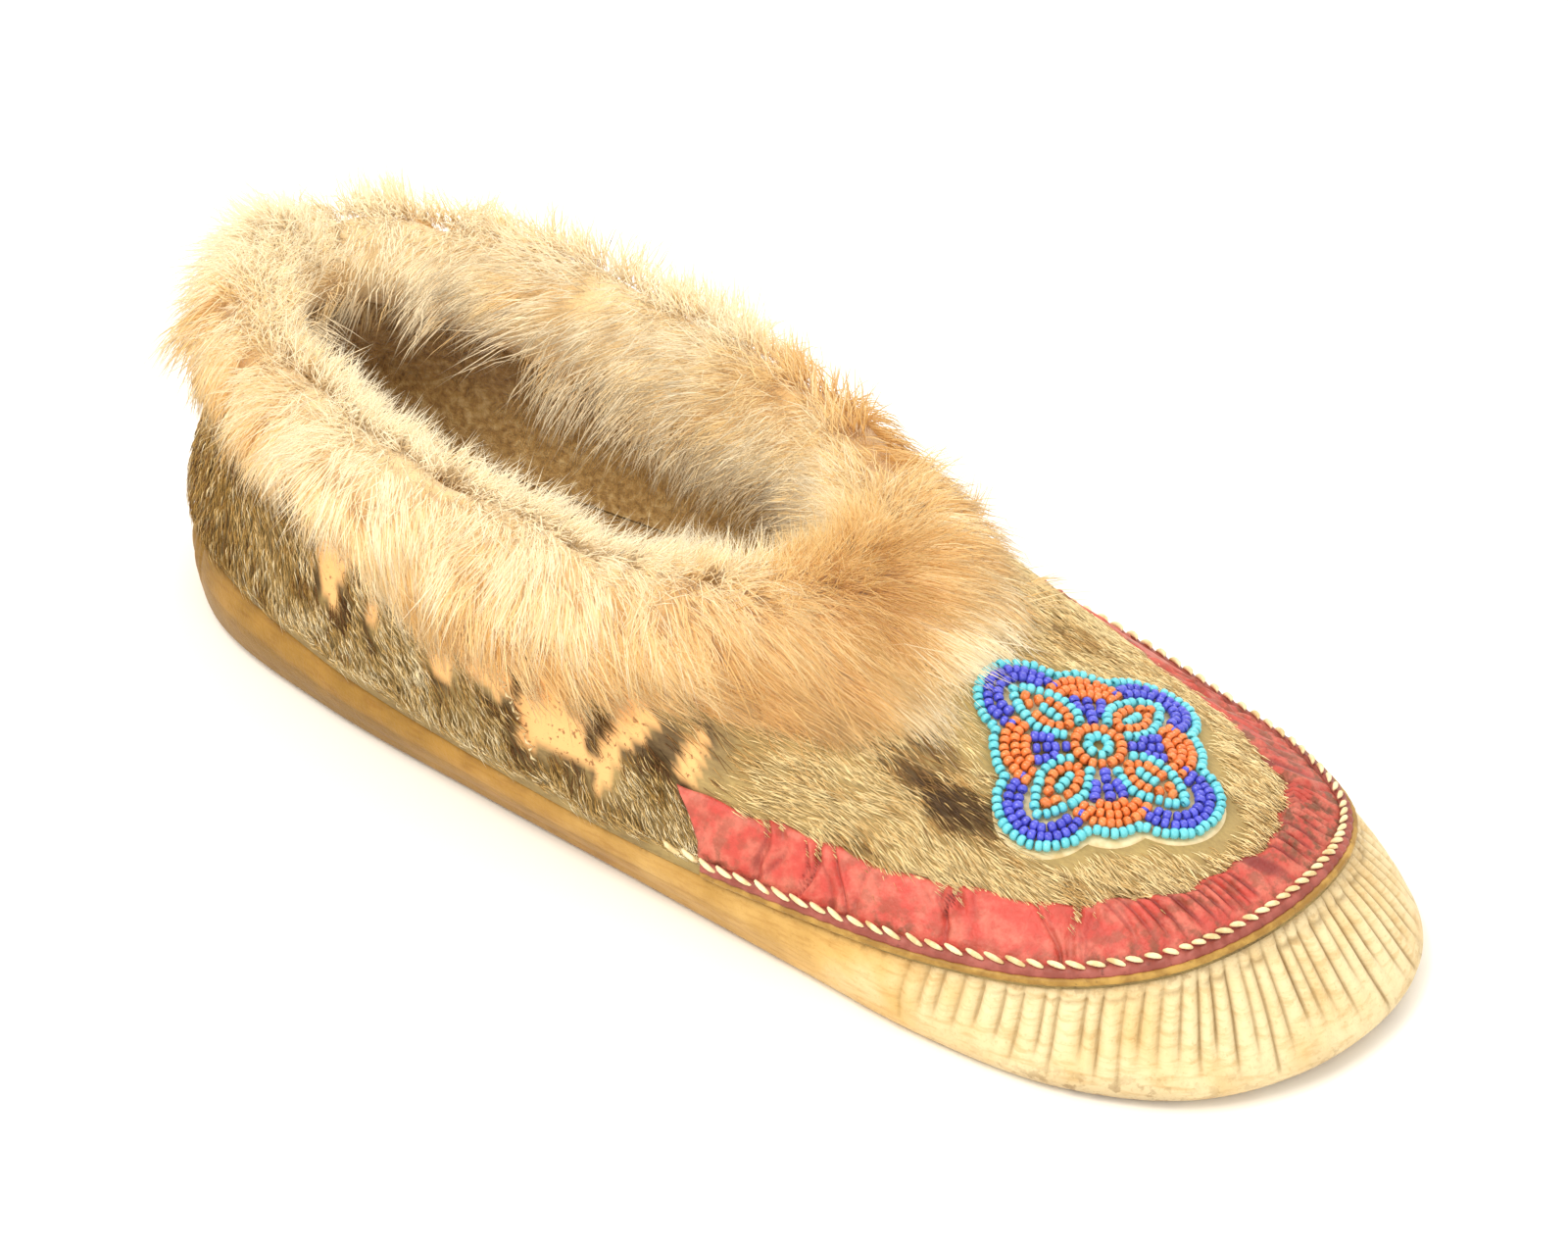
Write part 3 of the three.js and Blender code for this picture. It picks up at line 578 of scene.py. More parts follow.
def mesh_from(name: str, points: Array, faces: Array) -> Piece:
    """Makes a joined mesh from arrays of points in mm and faces of equal corner count.

    Args:
        name: the piece's name.
        points: (n, 3) points.
        faces: (m, corners) numbers of points.

    Returns:
        The new piece.
    """
    mesh = bpy.data.meshes.new(name)
    corners = faces.shape[1]
    mesh.vertices.add(len(points))
    mesh.loops.add(faces.size)
    mesh.polygons.add(len(faces))
    mesh.polygons.foreach_set("loop_start", np.arange(0, faces.size, corners, dtype=np.int32))
    mesh.loops.foreach_set("vertex_index", faces.astype(np.int32).ravel())
    mesh.polygons.foreach_set("use_smooth", np.ones(len(faces), bool))
    piece = bpy.data.objects.new(name, mesh)
    bpy.context.scene.collection.objects.link(piece)
    write_points(piece, points)
    mesh.update(calc_edges=True)
    return piece


def ring_faces(rows: int, corners: int, closed: bool = False) -> Array:
    """The four-cornered faces between rings of points, and from the last ring to the first if closed.

    Args:
        rows: how many rings there are.
        corners: how many points each ring has.
        closed: whether the last ring joins the first.

    Returns:
        (n, 4) numbers of points.
    """
    ring, corner = np.indices((rows if closed else rows - 1, corners)).reshape(2, -1)
    after, beside = (ring + 1) % rows, (corner + 1) % corners
    faces = [ring * corners + corner, ring * corners + beside, after * corners + beside, after * corners + corner]
    return np.stack(faces, 1)


def copies(name: str, points: Array, faces: Array, places: Array, axes: Array) -> Piece:
    """Makes one joined mesh of many copies of a small shape.

    Args:
        name: the piece's name.
        points: the small shape's points in mm.
        faces: its faces.
        places: (n, 3) where each copy goes.
        axes: (n, 3, 3) each copy's own three axes, as rows.

    Returns:
        The joined piece.
    """
    laid = np.einsum("pk,nkc->npc", points, axes) + places[:, None]
    shift = np.arange(len(places))[:, None, None] * len(points)
    return mesh_from(name, laid.reshape(-1, 3), (faces[None] + shift).reshape(-1, faces.shape[1]))


def strands(name: str, paths: Array, widths: Array, marks: dict[str, Array]) -> Piece:
    """Makes hairs as one joined mesh: each is a closed three-sided spindle with a pointed root and tip.

    Args:
        name: the piece's name.
        paths: (n, k, 3) points from root to tip in mm.
        widths: (n,) each hair's half width in mm.
        marks: values of each hair, to which its reach from root to tip is added.

    Returns:
        The joined piece.
    """
    count, stops = paths.shape[:2]
    rings = stops - 2
    ring_widths = np.linspace(1.0, 0.62, rings)
    along = unit(paths[:, 2:] - paths[:, :-2])
    side = unit(np.cross(along, np.array([0.31, 0.52, 0.8])))
    other = np.cross(along, side)
    angles = np.arange(3) * 2 * math.pi / 3
    ring = side[:, :, None] * np.cos(angles)[:, None] + other[:, :, None] * np.sin(angles)[:, None]
    ring = paths[:, 1:-1, None] + ring * (widths[:, None] * ring_widths)[:, :, None, None]
    points = np.concatenate([paths[:, :1], ring.reshape(count, -1, 3), paths[:, -1:]], 1)
    tip = 1 + 3 * rings
    faces = [(0, 1 + (k + 1) % 3, 1 + k) for k in range(3)]
    for j in range(rings - 1):
        for k in range(3):
            a, b = 1 + 3 * j + k, 1 + 3 * j + (k + 1) % 3
            faces += [(a, b, b + 3), (a, b + 3, a + 3)]
    faces += [(tip, tip - 3 + k, tip - 3 + (k + 1) % 3) for k in range(3)]
    shift = np.arange(count)[:, None, None] * (tip + 1)
    piece = mesh_from(name, points.reshape(-1, 3), (np.array(faces)[None] + shift).reshape(-1, 3))
    reach = np.concatenate([[0], np.repeat(np.arange(1, rings + 1) / (rings + 1), 3), [1]])
    mark(piece, {"reach": np.tile(reach, count)})
    mark(piece, {key: np.repeat(values, tip + 1) for key, values in marks.items()})
    return piece


def linear(code: str) -> tuple[float, float, float, float]:
    """An sRGB hex colour as the linear one that shaders take.

    Args:
        code: a colour such as #A0B0C0.

    Returns:
        Red, green, blue and alpha from 0 to 1.
    """
    parts = [int(code[k : k + 2], 16) / 255 for k in (1, 3, 5)]
    red, green, blue = (c / 12.92 if c <= 0.04045 else ((c + 0.055) / 1.055) ** 2.4 for c in parts)
    return red, green, blue, 1.0


def add_node(
    tree: bpy.types.NodeTree,
    kind: str,
    inputs: dict[str | int, object] | None = None,
    ramp: list[tuple[float, str]] | None = None,
    **settings: object,
) -> bpy.types.Node:
    """Adds a node with its settings and links.

    Args:
        tree: the node tree.
        kind: the node's type.
        inputs: values, or sockets to link from, by the input's name or number.
        ramp: a colour ramp's stops as places and hex colours.
        settings: the node's own properties.

    Returns:
        The new node.
    """
    node = tree.nodes.new(kind)
    for key, value in settings.items():
        setattr(node, key, value)
    for key, value in (inputs or {}).items():
        if isinstance(value, Socket):
            tree.links.new(value, node.inputs[key])
        else:
            node.inputs[key].default_value = value
    if ramp:
        stops = node.color_ramp.elements
        while len(stops) < len(ramp):
            stops.new(0.5)
        for stop, (place, code) in zip(stops, ramp):
            stop.position = place
            stop.color = linear(code)
    return node


class Dye:
    """A material under way: its node tree with the steps that all the finishes share."""

    def __init__(self, name: str) -> None:
        """Starts an empty material that reads object coordinates.

        Args:
            name: the material's name.
        """
        self.material = bpy.data.materials.new(name)
        self.material.use_nodes = True
        self.tree = self.material.node_tree
        self.tree.nodes.clear()
        self.place = add_node(self.tree, "ShaderNodeTexCoord").outputs["Object"]

    def value(self, name: str) -> Socket:
        """A value stored on the piece's points."""
        return add_node(self.tree, "ShaderNodeAttribute", attribute_name=name).outputs["Fac"]

    def grain(
        self, size: float, detail: float = 3.0, stretch: tuple[float, float, float] = (1, 1, 1)
    ) -> Socket:
        """Random patches a size in mm apart, drawn out along an axis where stretch is under 1.

        Args:
            size: how far apart the patches lie.
            detail: how finely they are broken up.
            stretch: how much each axis is squeezed.

        Returns:
            A value from 0 to 1.
        """
        scaled = add_node(self.tree, "ShaderNodeMapping", {"Vector": self.place, "Scale": stretch})
        noise = {"Vector": scaled.outputs[0], "Scale": 1 / (size * MM), "Detail": detail, "Roughness": 0.6}
        return add_node(self.tree, "ShaderNodeTexNoise", noise).outputs["Fac"]

    def between(self, low: float, high: float, value: Socket) -> Socket:
        """A value spread from low and high to 0 and 1."""
        ends = {"Value": value, "From Min": low, "From Max": high}
        return add_node(self.tree, "ShaderNodeMapRange", ends, interpolation_type="SMOOTHSTEP").outputs[0]

    def work(self, how: str, a: object, b: object) -> Socket:
        """Two values worked into one."""
        return add_node(self.tree, "ShaderNodeMath", {0: a, 1: b}, operation=how).outputs[0]

    def part(self, value: Socket, share: object) -> Socket:
        """A share of a value."""
        return self.work("MULTIPLY", value, share)

    def swing(self, value: Socket, share: float) -> Socket:
        """A share of how far a value from 0 to 1 lies off its middle."""
        return self.part(self.work("SUBTRACT", value, 0.5), share)

    def shades(self, value: Socket, ramp: list[tuple[float, str]]) -> Socket:
        """A value turned into colours."""
        return add_node(self.tree, "ShaderNodeValToRGB", {"Fac": value}, ramp).outputs["Color"]

    def over(self, amount: object, under: object, upper: object, how: str = "MIX") -> Socket:
        """A colour laid over another, as far as an amount from 0 to 1 says."""
        laid = {0: amount, 6: self._colour(under), 7: self._colour(upper)}
        return add_node(self.tree, "ShaderNodeMix", laid, data_type="RGBA", blend_type=how).outputs[2]

    @staticmethod
    def _colour(value: object) -> object:
        """A hex colour made linear, or a socket as it is."""
        return linear(value) if isinstance(value, str) else value

    def bump(self, height: Socket, depth: float, under: object = None) -> Socket:
        """Relief that many mm deep, over what lies under it.

        Args:
            height: the relief's height from 0 to 1.
            depth: how deep it is, in mm.
            under: a relief under this one.

        Returns:
            The relief as directions.
        """
        parts = {"Height": height, "Distance": depth * MM, "Strength": 1.0}
        if under is not None:
            parts["Normal"] = under
        return add_node(self.tree, "ShaderNodeBump", parts).outputs[0]

    def finish(self, colour: object, roughness: object, relief: object = None, **constant: object) -> Material:
        """Closes the material with its one shader.

        Args:
            colour: the base colour.
            roughness: how matt the surface is.
            relief: its relief, if any.
            constant: the shader's other inputs, by name.

        Returns:
            The material.
        """
        parts: dict[str | int, object] = {"Base Color": self._colour(colour), "Roughness": roughness, "IOR": 1.5}
        if relief is not None:
            parts["Normal"] = relief
        parts.update({key.replace("_", " "): value for key, value in constant.items()})
        shader = add_node(self.tree, "ShaderNodeBsdfPrincipled", parts)
        add_node(self.tree, "ShaderNodeOutputMaterial", {"Surface": shader.outputs[0]})
        return self.material


@dataclass(frozen=True)
class SmokedHide:
    """Scraped and wood-smoked moose hide: matt, ochre where smoked and handled, cream where stretched at the toe."""

    ochre: str = "#AB8036"
    olive: str = "#86631E"
    sand: str = "#D8B06A"
    cream: str = "#EBD8AC"
    crease_shade: str = "#74551F"
    dirt: str = "#7E5A30"

    def material(self) -> Material:
        """Builds the hide, whose tint, painted crease shade and dirt are stored on its points.

        Returns:
            The material.
        """
        dye = Dye("smoked_hide")
        tint = dye.work("ADD", dye.value("tint"), dye.swing(dye.grain(9, 5), 0.42))
        base = dye.shades(tint, [(0.0, self.olive), (0.25, self.ochre), (0.6, self.sand), (0.9, self.cream)])
        streaks = dye.between(0.45, 0.7, dye.grain(1.6, 4, (0.25, 0.3, 1.4)))
        base = dye.over(dye.part(streaks, 0.35), base, "#C9A765", "MULTIPLY")
        pores = dye.between(0.55, 0.75, dye.grain(0.8, 3))
        base = dye.over(dye.part(pores, 0.28), base, "#A87C34")
        spots = dye.between(0.52, 0.62, dye.grain(2.4, 5))
        base = dye.over(dye.part(dye.value("dirt"), spots), base, self.dirt)
        base = dye.over(dye.part(dye.value("dirt"), 0.55), base, self.dirt)
        # Painted shade: the crimps' grooves and valleys and the side fold are darkened in the hide's colour.
        base = dye.over(dye.value("crease_shade"), base, self.crease_shade)
        relief = dye.bump(dye.grain(0.6, 4), 0.16, dye.bump(dye.grain(4), 0.3))
        return dye.finish(base, 0.82, relief, Sheen_Weight=0.15, Specular_IOR_Level=0.25)


@dataclass(frozen=True)
class SealHide:
    """The sealskin's own skin under its hair: tan, dark under the spots, and bare peach where it is worn."""

    light: str = "#B79E66"
    dark: str = "#43301F"
    worn: str = "#F2BC7C"
    scab: str = "#6E3418"

    def material(self) -> Material:
        """Builds the skin from its shade and wear.

        Returns:
            The material.
        """
        dye = Dye("sealskin_hide")
        fibre = dye.grain(0.6, 3, (0.35, 1, 1))
        shade = dye.work("ADD", dye.value("shade"), dye.swing(fibre, 0.5))
        base = dye.shades(shade, [(0.0, self.light), (0.45, "#86704A"), (1.0, self.dark)])
        specks = dye.between(0.57, 0.66, dye.grain(1.1, 5))
        bare = dye.over(dye.part(specks, 0.75), self.worn, self.scab)
        base = dye.over(dye.value("bare"), base, bare)
        return dye.finish(base, 0.7, dye.bump(fibre, 0.18), Specular_IOR_Level=0.3)


@dataclass(frozen=True)
class SealHair:
    """Short, flat guard hair of seal: glossy and stiff, tan with dark bands and silver tips."""

    name: str
    ramp: tuple[tuple[float, str], ...]

    def material(self) -> Material:
        """Builds the hair from its shade and its reach.

        Returns:
            The material.
        """
        dye = Dye(self.name)
        shade = dye.work("SUBTRACT", dye.value("shade"), dye.part(dye.value("reach"), 0.16))
        return dye.finish(dye.shades(shade, list(self.ramp)), 0.46, Specular_IOR_Level=0.45)


@dataclass(frozen=True)
class LongFur:
    """Long soft hare fur: cream tips over tan roots, with a sheen but no gloss.

    Its colours are paler than the fur looks, because light that bounces between hairs deepens them.
    """

    root: str = "#F0D8AE"
    tan: str = "#C89750"
    gold: str = "#E3BA78"
    cream: str = "#F2D6A0"
    white: str = "#FBEDCE"

    def material(self) -> Material:
        """Builds the fur from each hair's tone and reach.

        Returns:
            The material.
        """
        dye = Dye("long_fur")
        lifted = dye.work("ADD", dye.value("tone"), dye.part(dye.value("reach"), 0.16))
        tone = dye.shades(lifted, [(0.1, self.tan), (0.4, self.gold), (0.7, self.cream), (1.0, self.white)])
        colour = dye.over(dye.between(0.5, -0.1, dye.value("reach")), tone, self.root, "MULTIPLY")
        return dye.finish(colour, 0.55, Specular_IOR_Level=0.3, Sheen_Weight=0.2)


@dataclass(frozen=True)
class FurBed:
    """The matted underfur that the long hair grows from: soft and dull, in small tufts."""

    def material(self) -> Material:
        """Builds the underfur.

        Returns:
            The material.
        """
        dye = Dye("underfur")
        tufts = dye.grain(1.5, 5)
        tone = dye.work("ADD", dye.value("tone"), dye.swing(tufts, 0.6))
        colour = dye.shades(tone, [(0.1, "#B98A4C"), (0.4, "#D4A566"), (0.7, "#E8C48A"), (1.0, "#F5DCAC")])
        return dye.finish(colour, 0.9, dye.bump(tufts, 0.9, dye.bump(dye.grain(0.5), 0.3)), Sheen_Weight=0.4)


@dataclass(frozen=True)
class FuzzyLining:
    """Napped wool duffle inside the shoe: grey-brown, dull and flecked."""

    def material(self) -> Material:
        """Builds the nap.

        Returns:
            The material.
        """
        dye = Dye("wool_duffle")
        nap = dye.grain(1.6, 5)
        colour = dye.shades(nap, [(0.3, "#8F6C38"), (0.5, "#C09A5C"), (0.72, "#E6CB92")])
        return dye.finish(colour, 0.95, dye.bump(nap, 0.6, dye.bump(dye.grain(0.4), 0.2)), Sheen_Weight=0.3)


@dataclass(frozen=True)
class DyedLeather:
    """Thin split leather dyed red: it takes a dull gloss on its folds, and painted shade darkens its creases."""

    red: str = "#C8493F"
    pink: str = "#DE7F6C"
    deep: str = "#7E2824"
    grime: str = "#7A4C36"

    def material(self) -> Material:
        """Builds the red leather, whose painted fold shade and grime are stored on its points.

        Returns:
            The material.
        """
        dye = Dye("dyed_leather")
        worn = dye.between(0.4, 0.66, dye.grain(5, 5))
        base = dye.over(dye.part(worn, 0.7), self.red, self.pink)
        scuffs = dye.between(0.44, 0.62, dye.grain(2.6, 5))
        base = dye.over(dye.part(scuffs, dye.value("grime")), base, self.grime)
        base = dye.over(dye.part(dye.value("grime"), 0.22), base, self.grime)
        # Painted shade in the folds and in the valleys between the toe's gathers.
        base = dye.over(dye.value("fold_shade"), base, self.deep)
        cracks = dye.grain(0.9, 4, (1, 1, 0.5))
        relief = dye.bump(cracks, 0.2, dye.bump(dye.grain(3.2, 3), 0.7))
        return dye.finish(base, 0.5, relief, Specular_IOR_Level=0.45)


@dataclass(frozen=True)
class TanLeather:
    """Oiled cowhide rolled over a cord: smooth, with a low gloss along its crown and grime beside it."""

    name: str
    base: str
    worn: str
    grime: str

    def material(self) -> Material:
        """Builds the leather.

        Returns:
            The material.
        """
        dye = Dye(self.name)
        wear = dye.between(0.4, 0.65, dye.grain(5, 4))
        colour = dye.over(wear, self.base, self.worn)
        spots = dye.between(0.6, 0.75, dye.grain(1.6, 3))
        colour = dye.over(dye.part(spots, 0.55), colour, self.grime)
        return dye.finish(colour, 0.5, dye.bump(dye.grain(0.8, 3), 0.08), Specular_IOR_Level=0.4)


@dataclass(frozen=True)
class SinewThread:
    """Waxed sinew thread: cream, twisted, with a slight wax gloss."""

    def material(self) -> Material:
        """Builds the thread.

        Returns:
            The material.
        """
        dye = Dye("sinew_thread")
        dull = dye.between(0.4, 0.7, dye.grain(4, 3))
        colour = dye.over(dull, "#F3E4B8", "#D2B47C")
        return dye.finish(colour, 0.5, dye.bump(dye.grain(0.35, 2), 0.08))


@dataclass(frozen=True)
class WoolFelt:
    """Brown needled felt: matt and napped, grey with wear in the middle, and darker under the heel, where shadow is
    painted on it.
    """

    def material(self) -> Material:
        """Builds the felt.

        Returns:
            The material.
        """
        dye = Dye("wool_felt")
        nap = dye.grain(1.4, 5)
        worn = dye.shades(nap, [(0.3, "#8A683A"), (0.55, "#B79258"), (0.8, "#DCBE88")])
        # The felt's own brown, darkened as painted shadow inside the shoe's heel.
        brown = dye.shades(nap, [(0.3, "#6A400C"), (0.55, "#9A6216"), (0.8, "#BE862A")])
        colour = dye.over(dye.value("heel"), worn, brown)
        colour = dye.over(dye.value("seam"), colour, "#3B2408")
        return dye.finish(colour, 0.95, dye.bump(nap, 0.5), Sheen_Weight=0.2)


@dataclass(frozen=True)
class BackingLeather:
    """White tawed leather under the beads: thin, matt and a little yellowed."""

    def material(self) -> Material:
        """Builds the backing.

        Returns:
            The material.
        """
        dye = Dye("tawed_leather")
        colour = dye.over(dye.between(0.4, 0.7, dye.grain(5)), "#EBDCB4", "#D2B883")
        return dye.finish(colour, 0.75, dye.bump(dye.grain(0.6), 0.08))


@dataclass(frozen=True)
class BeadGlass:
    """Opaque drawn glass, tumbled smooth: a hard small highlight over an even colour."""

    name: str
    colour: str
    deep: str

    def material(self) -> Material:
        """Builds the glass, a little uneven from bead to bead.

        Returns:
            The material.
        """
        dye = Dye(self.name)
        colour = dye.over(dye.value("tone"), self.colour, self.deep)
        return dye.finish(colour, 0.16, Specular_IOR_Level=0.5, Coat_Weight=0.3, Coat_Roughness=0.08)


@dataclass(frozen=True)
class StudioPaper:
    """Matt white background paper: it shows nothing but soft shadows."""

    def material(self) -> Material:
        """Builds the paper.

        Returns:
            The material.
        """
        dye = Dye("studio_paper")
        colour = dye.over(dye.grain(400), "#FBFAF7", "#F7F6F3")
        return dye.finish(colour, 0.95, Specular_IOR_Level=0.1)


def dress(piece: Piece, material: Material, slot: str, *nodes: str) -> None:
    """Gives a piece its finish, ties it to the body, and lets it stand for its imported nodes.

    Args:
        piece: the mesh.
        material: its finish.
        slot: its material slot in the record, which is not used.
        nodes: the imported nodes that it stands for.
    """
    piece.data.materials.clear()
    piece.data.materials.append(material)
    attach(piece, BODY)
    if nodes:
        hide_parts(*nodes)
    faces = sum(len(p.vertices) - 2 for p in piece.data.polygons)
    log.info("%s: %d triangles", piece.name, faces)


@dataclass
class Sole:
    """The turned-up hide sole with its crimped toe and heel, and the felt insole in it."""

    form: FootForm
    edge_round: float = 3.6
    wall: float = 2.6
    bulge: float = 1.2
    crimp_pitch: float = 3.9
    crimp_depth: float = 1.35
    toe_from: float = 0.675
    heel_to: float = 0.13
    insole_thickness: float = 4.0
    around: int = 900

    def __post_init__(self) -> None:
        """Places the crimps, unevenly, along the toe and heel."""
        rng = np.random.default_rng(11)
        length = self.form.sole_edge.length
        share = self.form.sole_edge.toe_share
        toe = np.arange(self.toe_from, 2 - self.toe_from, self.crimp_pitch / length / share)
        heel = np.arange(-self.heel_to, self.heel_to, 0.7 * self.crimp_pitch / length / share)
        turns = np.concatenate([toe, heel])
        self.crimps = turns + rng.normal(0, 0.11 * self.crimp_pitch / length, len(turns)) / share
        self.depths = rng.uniform(0.55, 1.0, len(turns))
        self.depths[-len(heel):] *= 0.4
        self.foots = rng.uniform(-0.2, 0.3, len(turns))
        steps = np.linspace(0, 2, 4001)
        crowd = 1 + 4.5 * smooth(0.65, 0.69, halfway(steps)) + 2.2 * smooth(0.17, 0.13, halfway(steps))
        self.steps = steps
        self.gone = np.concatenate([[0], np.cumsum((crowd[1:] + crowd[:-1]) / 2)])
        self.gone /= self.gone[-1]

    def turn_at(self, u: Array) -> Array:
        """Turns with the columns crowded where the hide is crimped."""
        return np.interp(u, self.gone, self.steps)

    def crimp(self, turn: Array, height: Array) -> tuple[Array, Array]:
        """How far the wall is drawn in, and how deep in a crease it lies for its painted shade, at a turn and a share
        of its height.

        Args:
            turn: places round the foot.
            height: places up the wall, from 0 to 1.

        Returns:
            How far the wall is drawn in, in mm, and how deep in a crease it lies, from 0 to 1, which is painted as
            shade.
        """
        length = self.form.sole_edge.length * self.form.sole_edge.toe_share
        around = np.mod(turn + 0.5, 2.0) - 0.5
        drawn = np.zeros_like(turn)
        crease_shade = np.zeros_like(turn)
        for place, depth, foot in zip(self.crimps, self.depths, self.foots):
            near = np.abs(around - place) < 0.03
            away = np.abs(around[near] - place - 0.0007 * np.sin(height[near] * 5 + place * 40)) * length
            fade = smooth(foot, foot + 0.3, height[near])
            edge = smooth(0.0, 0.02, halfway(turn[near]) - self.toe_from) if place > 0.5 else 1.0
            groove = np.exp(-((away / 0.36) ** 2)) * fade * depth * edge
            valley = np.exp(-((away / 1.15) ** 2)) * (0.45 + 0.55 * fade) * (0.5 + 0.5 * depth) * edge
            drawn[near] = np.maximum(drawn[near], valley * 0.8 + groove * 0.4)
            # The crease value is painted shade: dark in the groove, and softly darker across the valley round it.
            crease_shade[near] = np.maximum(crease_shade[near], groove * 0.95 + 0.2 * valley)
        toe = smooth(0.7, 0.76, halfway(turn))
        # A line of wrinkles just under the welt round the toe, drawn in and painted darker as shade.
        line = toe * np.exp(-(((height - 0.885 - 0.012 * np.sin(turn * 190)) / 0.018) ** 2))
        drawn = np.maximum(drawn * (1 - 0.6 * toe * smooth(0.88, 0.94, height)), 0.35 * line)
        crease_shade = np.maximum(crease_shade * (1 - 0.5 * toe * smooth(0.89, 0.93, height)), 0.6 * line)
        crease_shade = crease_shade * (0.68 + 0.32 * smooth(0.8, 0.96, around))
        return drawn * self.crimp_depth, crease_shade

    def _profile(self, turn: Array, v: Array) -> tuple[Array, Array]:
        """The sole's section from the middle of its underside, up the wall and back to the middle of its floor.

        Args:
            turn: places round the foot.
            v: places along the section, from 0 to 1.

        Returns:
            Points in mm, and how deep in a crease each lies, which is painted as shade.
        """
        form = self.form
        edge, inward = form.sole_edge.at(turn), form.sole_edge.inward(turn)
        inset = self.edge_round + self.wall + 0.5
        far = form.sole_edge.at(2 - turn) + form.sole_edge.inward(2 - turn) * inset
        middle = (edge + inward * inset + far) / 2
        seam = form.seam(turn)
        r = self.edge_round
        level = edge + inward * r
        floor = edge + inward * (r + self.wall)
        drop = form.spring(edge[:, 0])

        def held(a: float, b: float) -> Array:
            """How far v has come from a to b, from 0 to 1."""
            return np.clip((v - a) / (b - a), 0, 1)

        share = held(ROUND_END, WALL_END)
        drawn, crease_shade = self.crimp(turn, share)
        angle = held(FLAT_END, ROUND_END) * math.pi / 2
        under = middle * (1 - held(0, FLAT_END))[:, None] + level * held(0, FLAT_END)[:, None]
        corner = edge + inward * (r * (1 - np.sin(angle)))[:, None]
        corner[:, 2] = r * (1 - np.cos(angle))
        low = edge + UP * r
        low[:, 2] += drop
        wall = low * (1 - share)[:, None] + seam * share[:, None]
        out = -self.bulge * np.sin(math.pi * share) + drawn * np.sin(np.clip(share * 1.6, 0, 1) * math.pi / 2)
        wall = wall + inward * out[:, None]
        top_in = held(WALL_END, RIM_END)
        top = seam + inward * (drawn * (1 - top_in) + (self.wall + 0.5) * top_in)[:, None]
        top[:, 2] += 0.35 * np.sin(math.pi * top_in)
        down = held(RIM_END, INSIDE_END)
        inner = (seam * (1 - down)[:, None] + low * down[:, None]) + inward * (self.wall + 0.5)
        inner[:, 2] += self.wall * down * 0.6
        bottom = held(INSIDE_END, HOLLOW_END)
        flat = inner * (1 - bottom)[:, None] + (floor + UP * (self.wall + drop)[:, None]) * bottom[:, None]
        close = held(HOLLOW_END, 1.0)
        deck = floor * (1 - close)[:, None] + middle * close[:, None]
        ends = (FLAT_END, ROUND_END, WALL_END, RIM_END, INSIDE_END, HOLLOW_END)
        points = np.select([(v <= end)[:, None] for end in ends], [under, corner, wall, top, inner, flat], deck)
        springs = (v < ROUND_END) | (v > HOLLOW_END)
        points[:, 2] += np.where(springs, form.spring(points[:, 0]), 0) + np.where(v > HOLLOW_END, self.wall, 0)
        return points, np.where((v >= ROUND_END) & (v <= STITCHES), crease_shade, 0)

    def _marks(self, turn: Array, v: Array, points: Array) -> dict[str, Array]:
        """The hide's tint, painted crease shade and dirt.

        Args:
            turn: places round the foot.
            v: places along the section, from 0 to 1.
            points: the points there, in mm.

        Returns:
            The values by name.
        """
        crease_shades = self._profile(turn, v)[1]
        x, z = points[:, 0], points[:, 2]
        height = np.clip((v - ROUND_END) / (WALL_END - ROUND_END), 0, 1)
        cream = smooth(14, 84, x + 22 * (mottle(points, 22, 3) - 0.5))
        tint = 0.06 + 0.3 * smooth(-75, 20, x) + 0.52 * cream + 0.16 * (mottle(points, 7, 4) - 0.5)
        side = smooth(45, 0, x) * smooth(-125, -100, x)
        tint += side * (0.1 * smooth(0.42, 0.5, height) - 0.04)
        # A fold along the side wall, painted darker as shade along with the creases.
        fold_shade = 0.35 * side * np.exp(-(((height - 0.45 - 0.02 * np.sin(x / 9)) / 0.025) ** 2))
        toe = smooth(60, 105, x) * (0.4 + 0.6 * smooth(-40, 20, points[:, 1]))
        dirt = smooth(9, 2.0, z) * toe * (0.35 + 1.2 * smooth(0.4, 0.75, mottle(points, 12, 5)))
        dirt += 0.22 * smooth(3.2, 1.2, z)
        dirt += 0.35 * smooth(0.66, 0.82, mottle(points, 6, 6)) * smooth(80, 110, x) * smooth(0, 30, points[:, 1])
        seam_dirt = smooth(0.55, WALL_END, v) * (v < STITCHES) * 0.35
        crease_shade = np.maximum(crease_shades * 0.95, fold_shade)
        return {"tint": tint, "crease_shade": np.clip(crease_shade, 0, 0.8), "dirt": np.clip(dirt + seam_dirt, 0, 0.95)}

    def build(self) -> None:
        """Builds and dresses the sole and the insole."""
        heights = np.concatenate([
            np.linspace(0, FLAT_END, 3), np.linspace(0.13, ROUND_END, 4), np.linspace(0.23, WALL_END, 24),
            np.linspace(STITCHES, RIM_END, 3), np.linspace(0.77, INSIDE_END, 2), np.linspace(0.9, 1.0, 3),
        ])

        def place(u: Array, v: Array) -> tuple[Array, Array]:
            """The turn and the place along the section for each pair of shares."""
            return self.turn_at(u), np.interp(v, np.linspace(0, 1, len(heights)), heights)

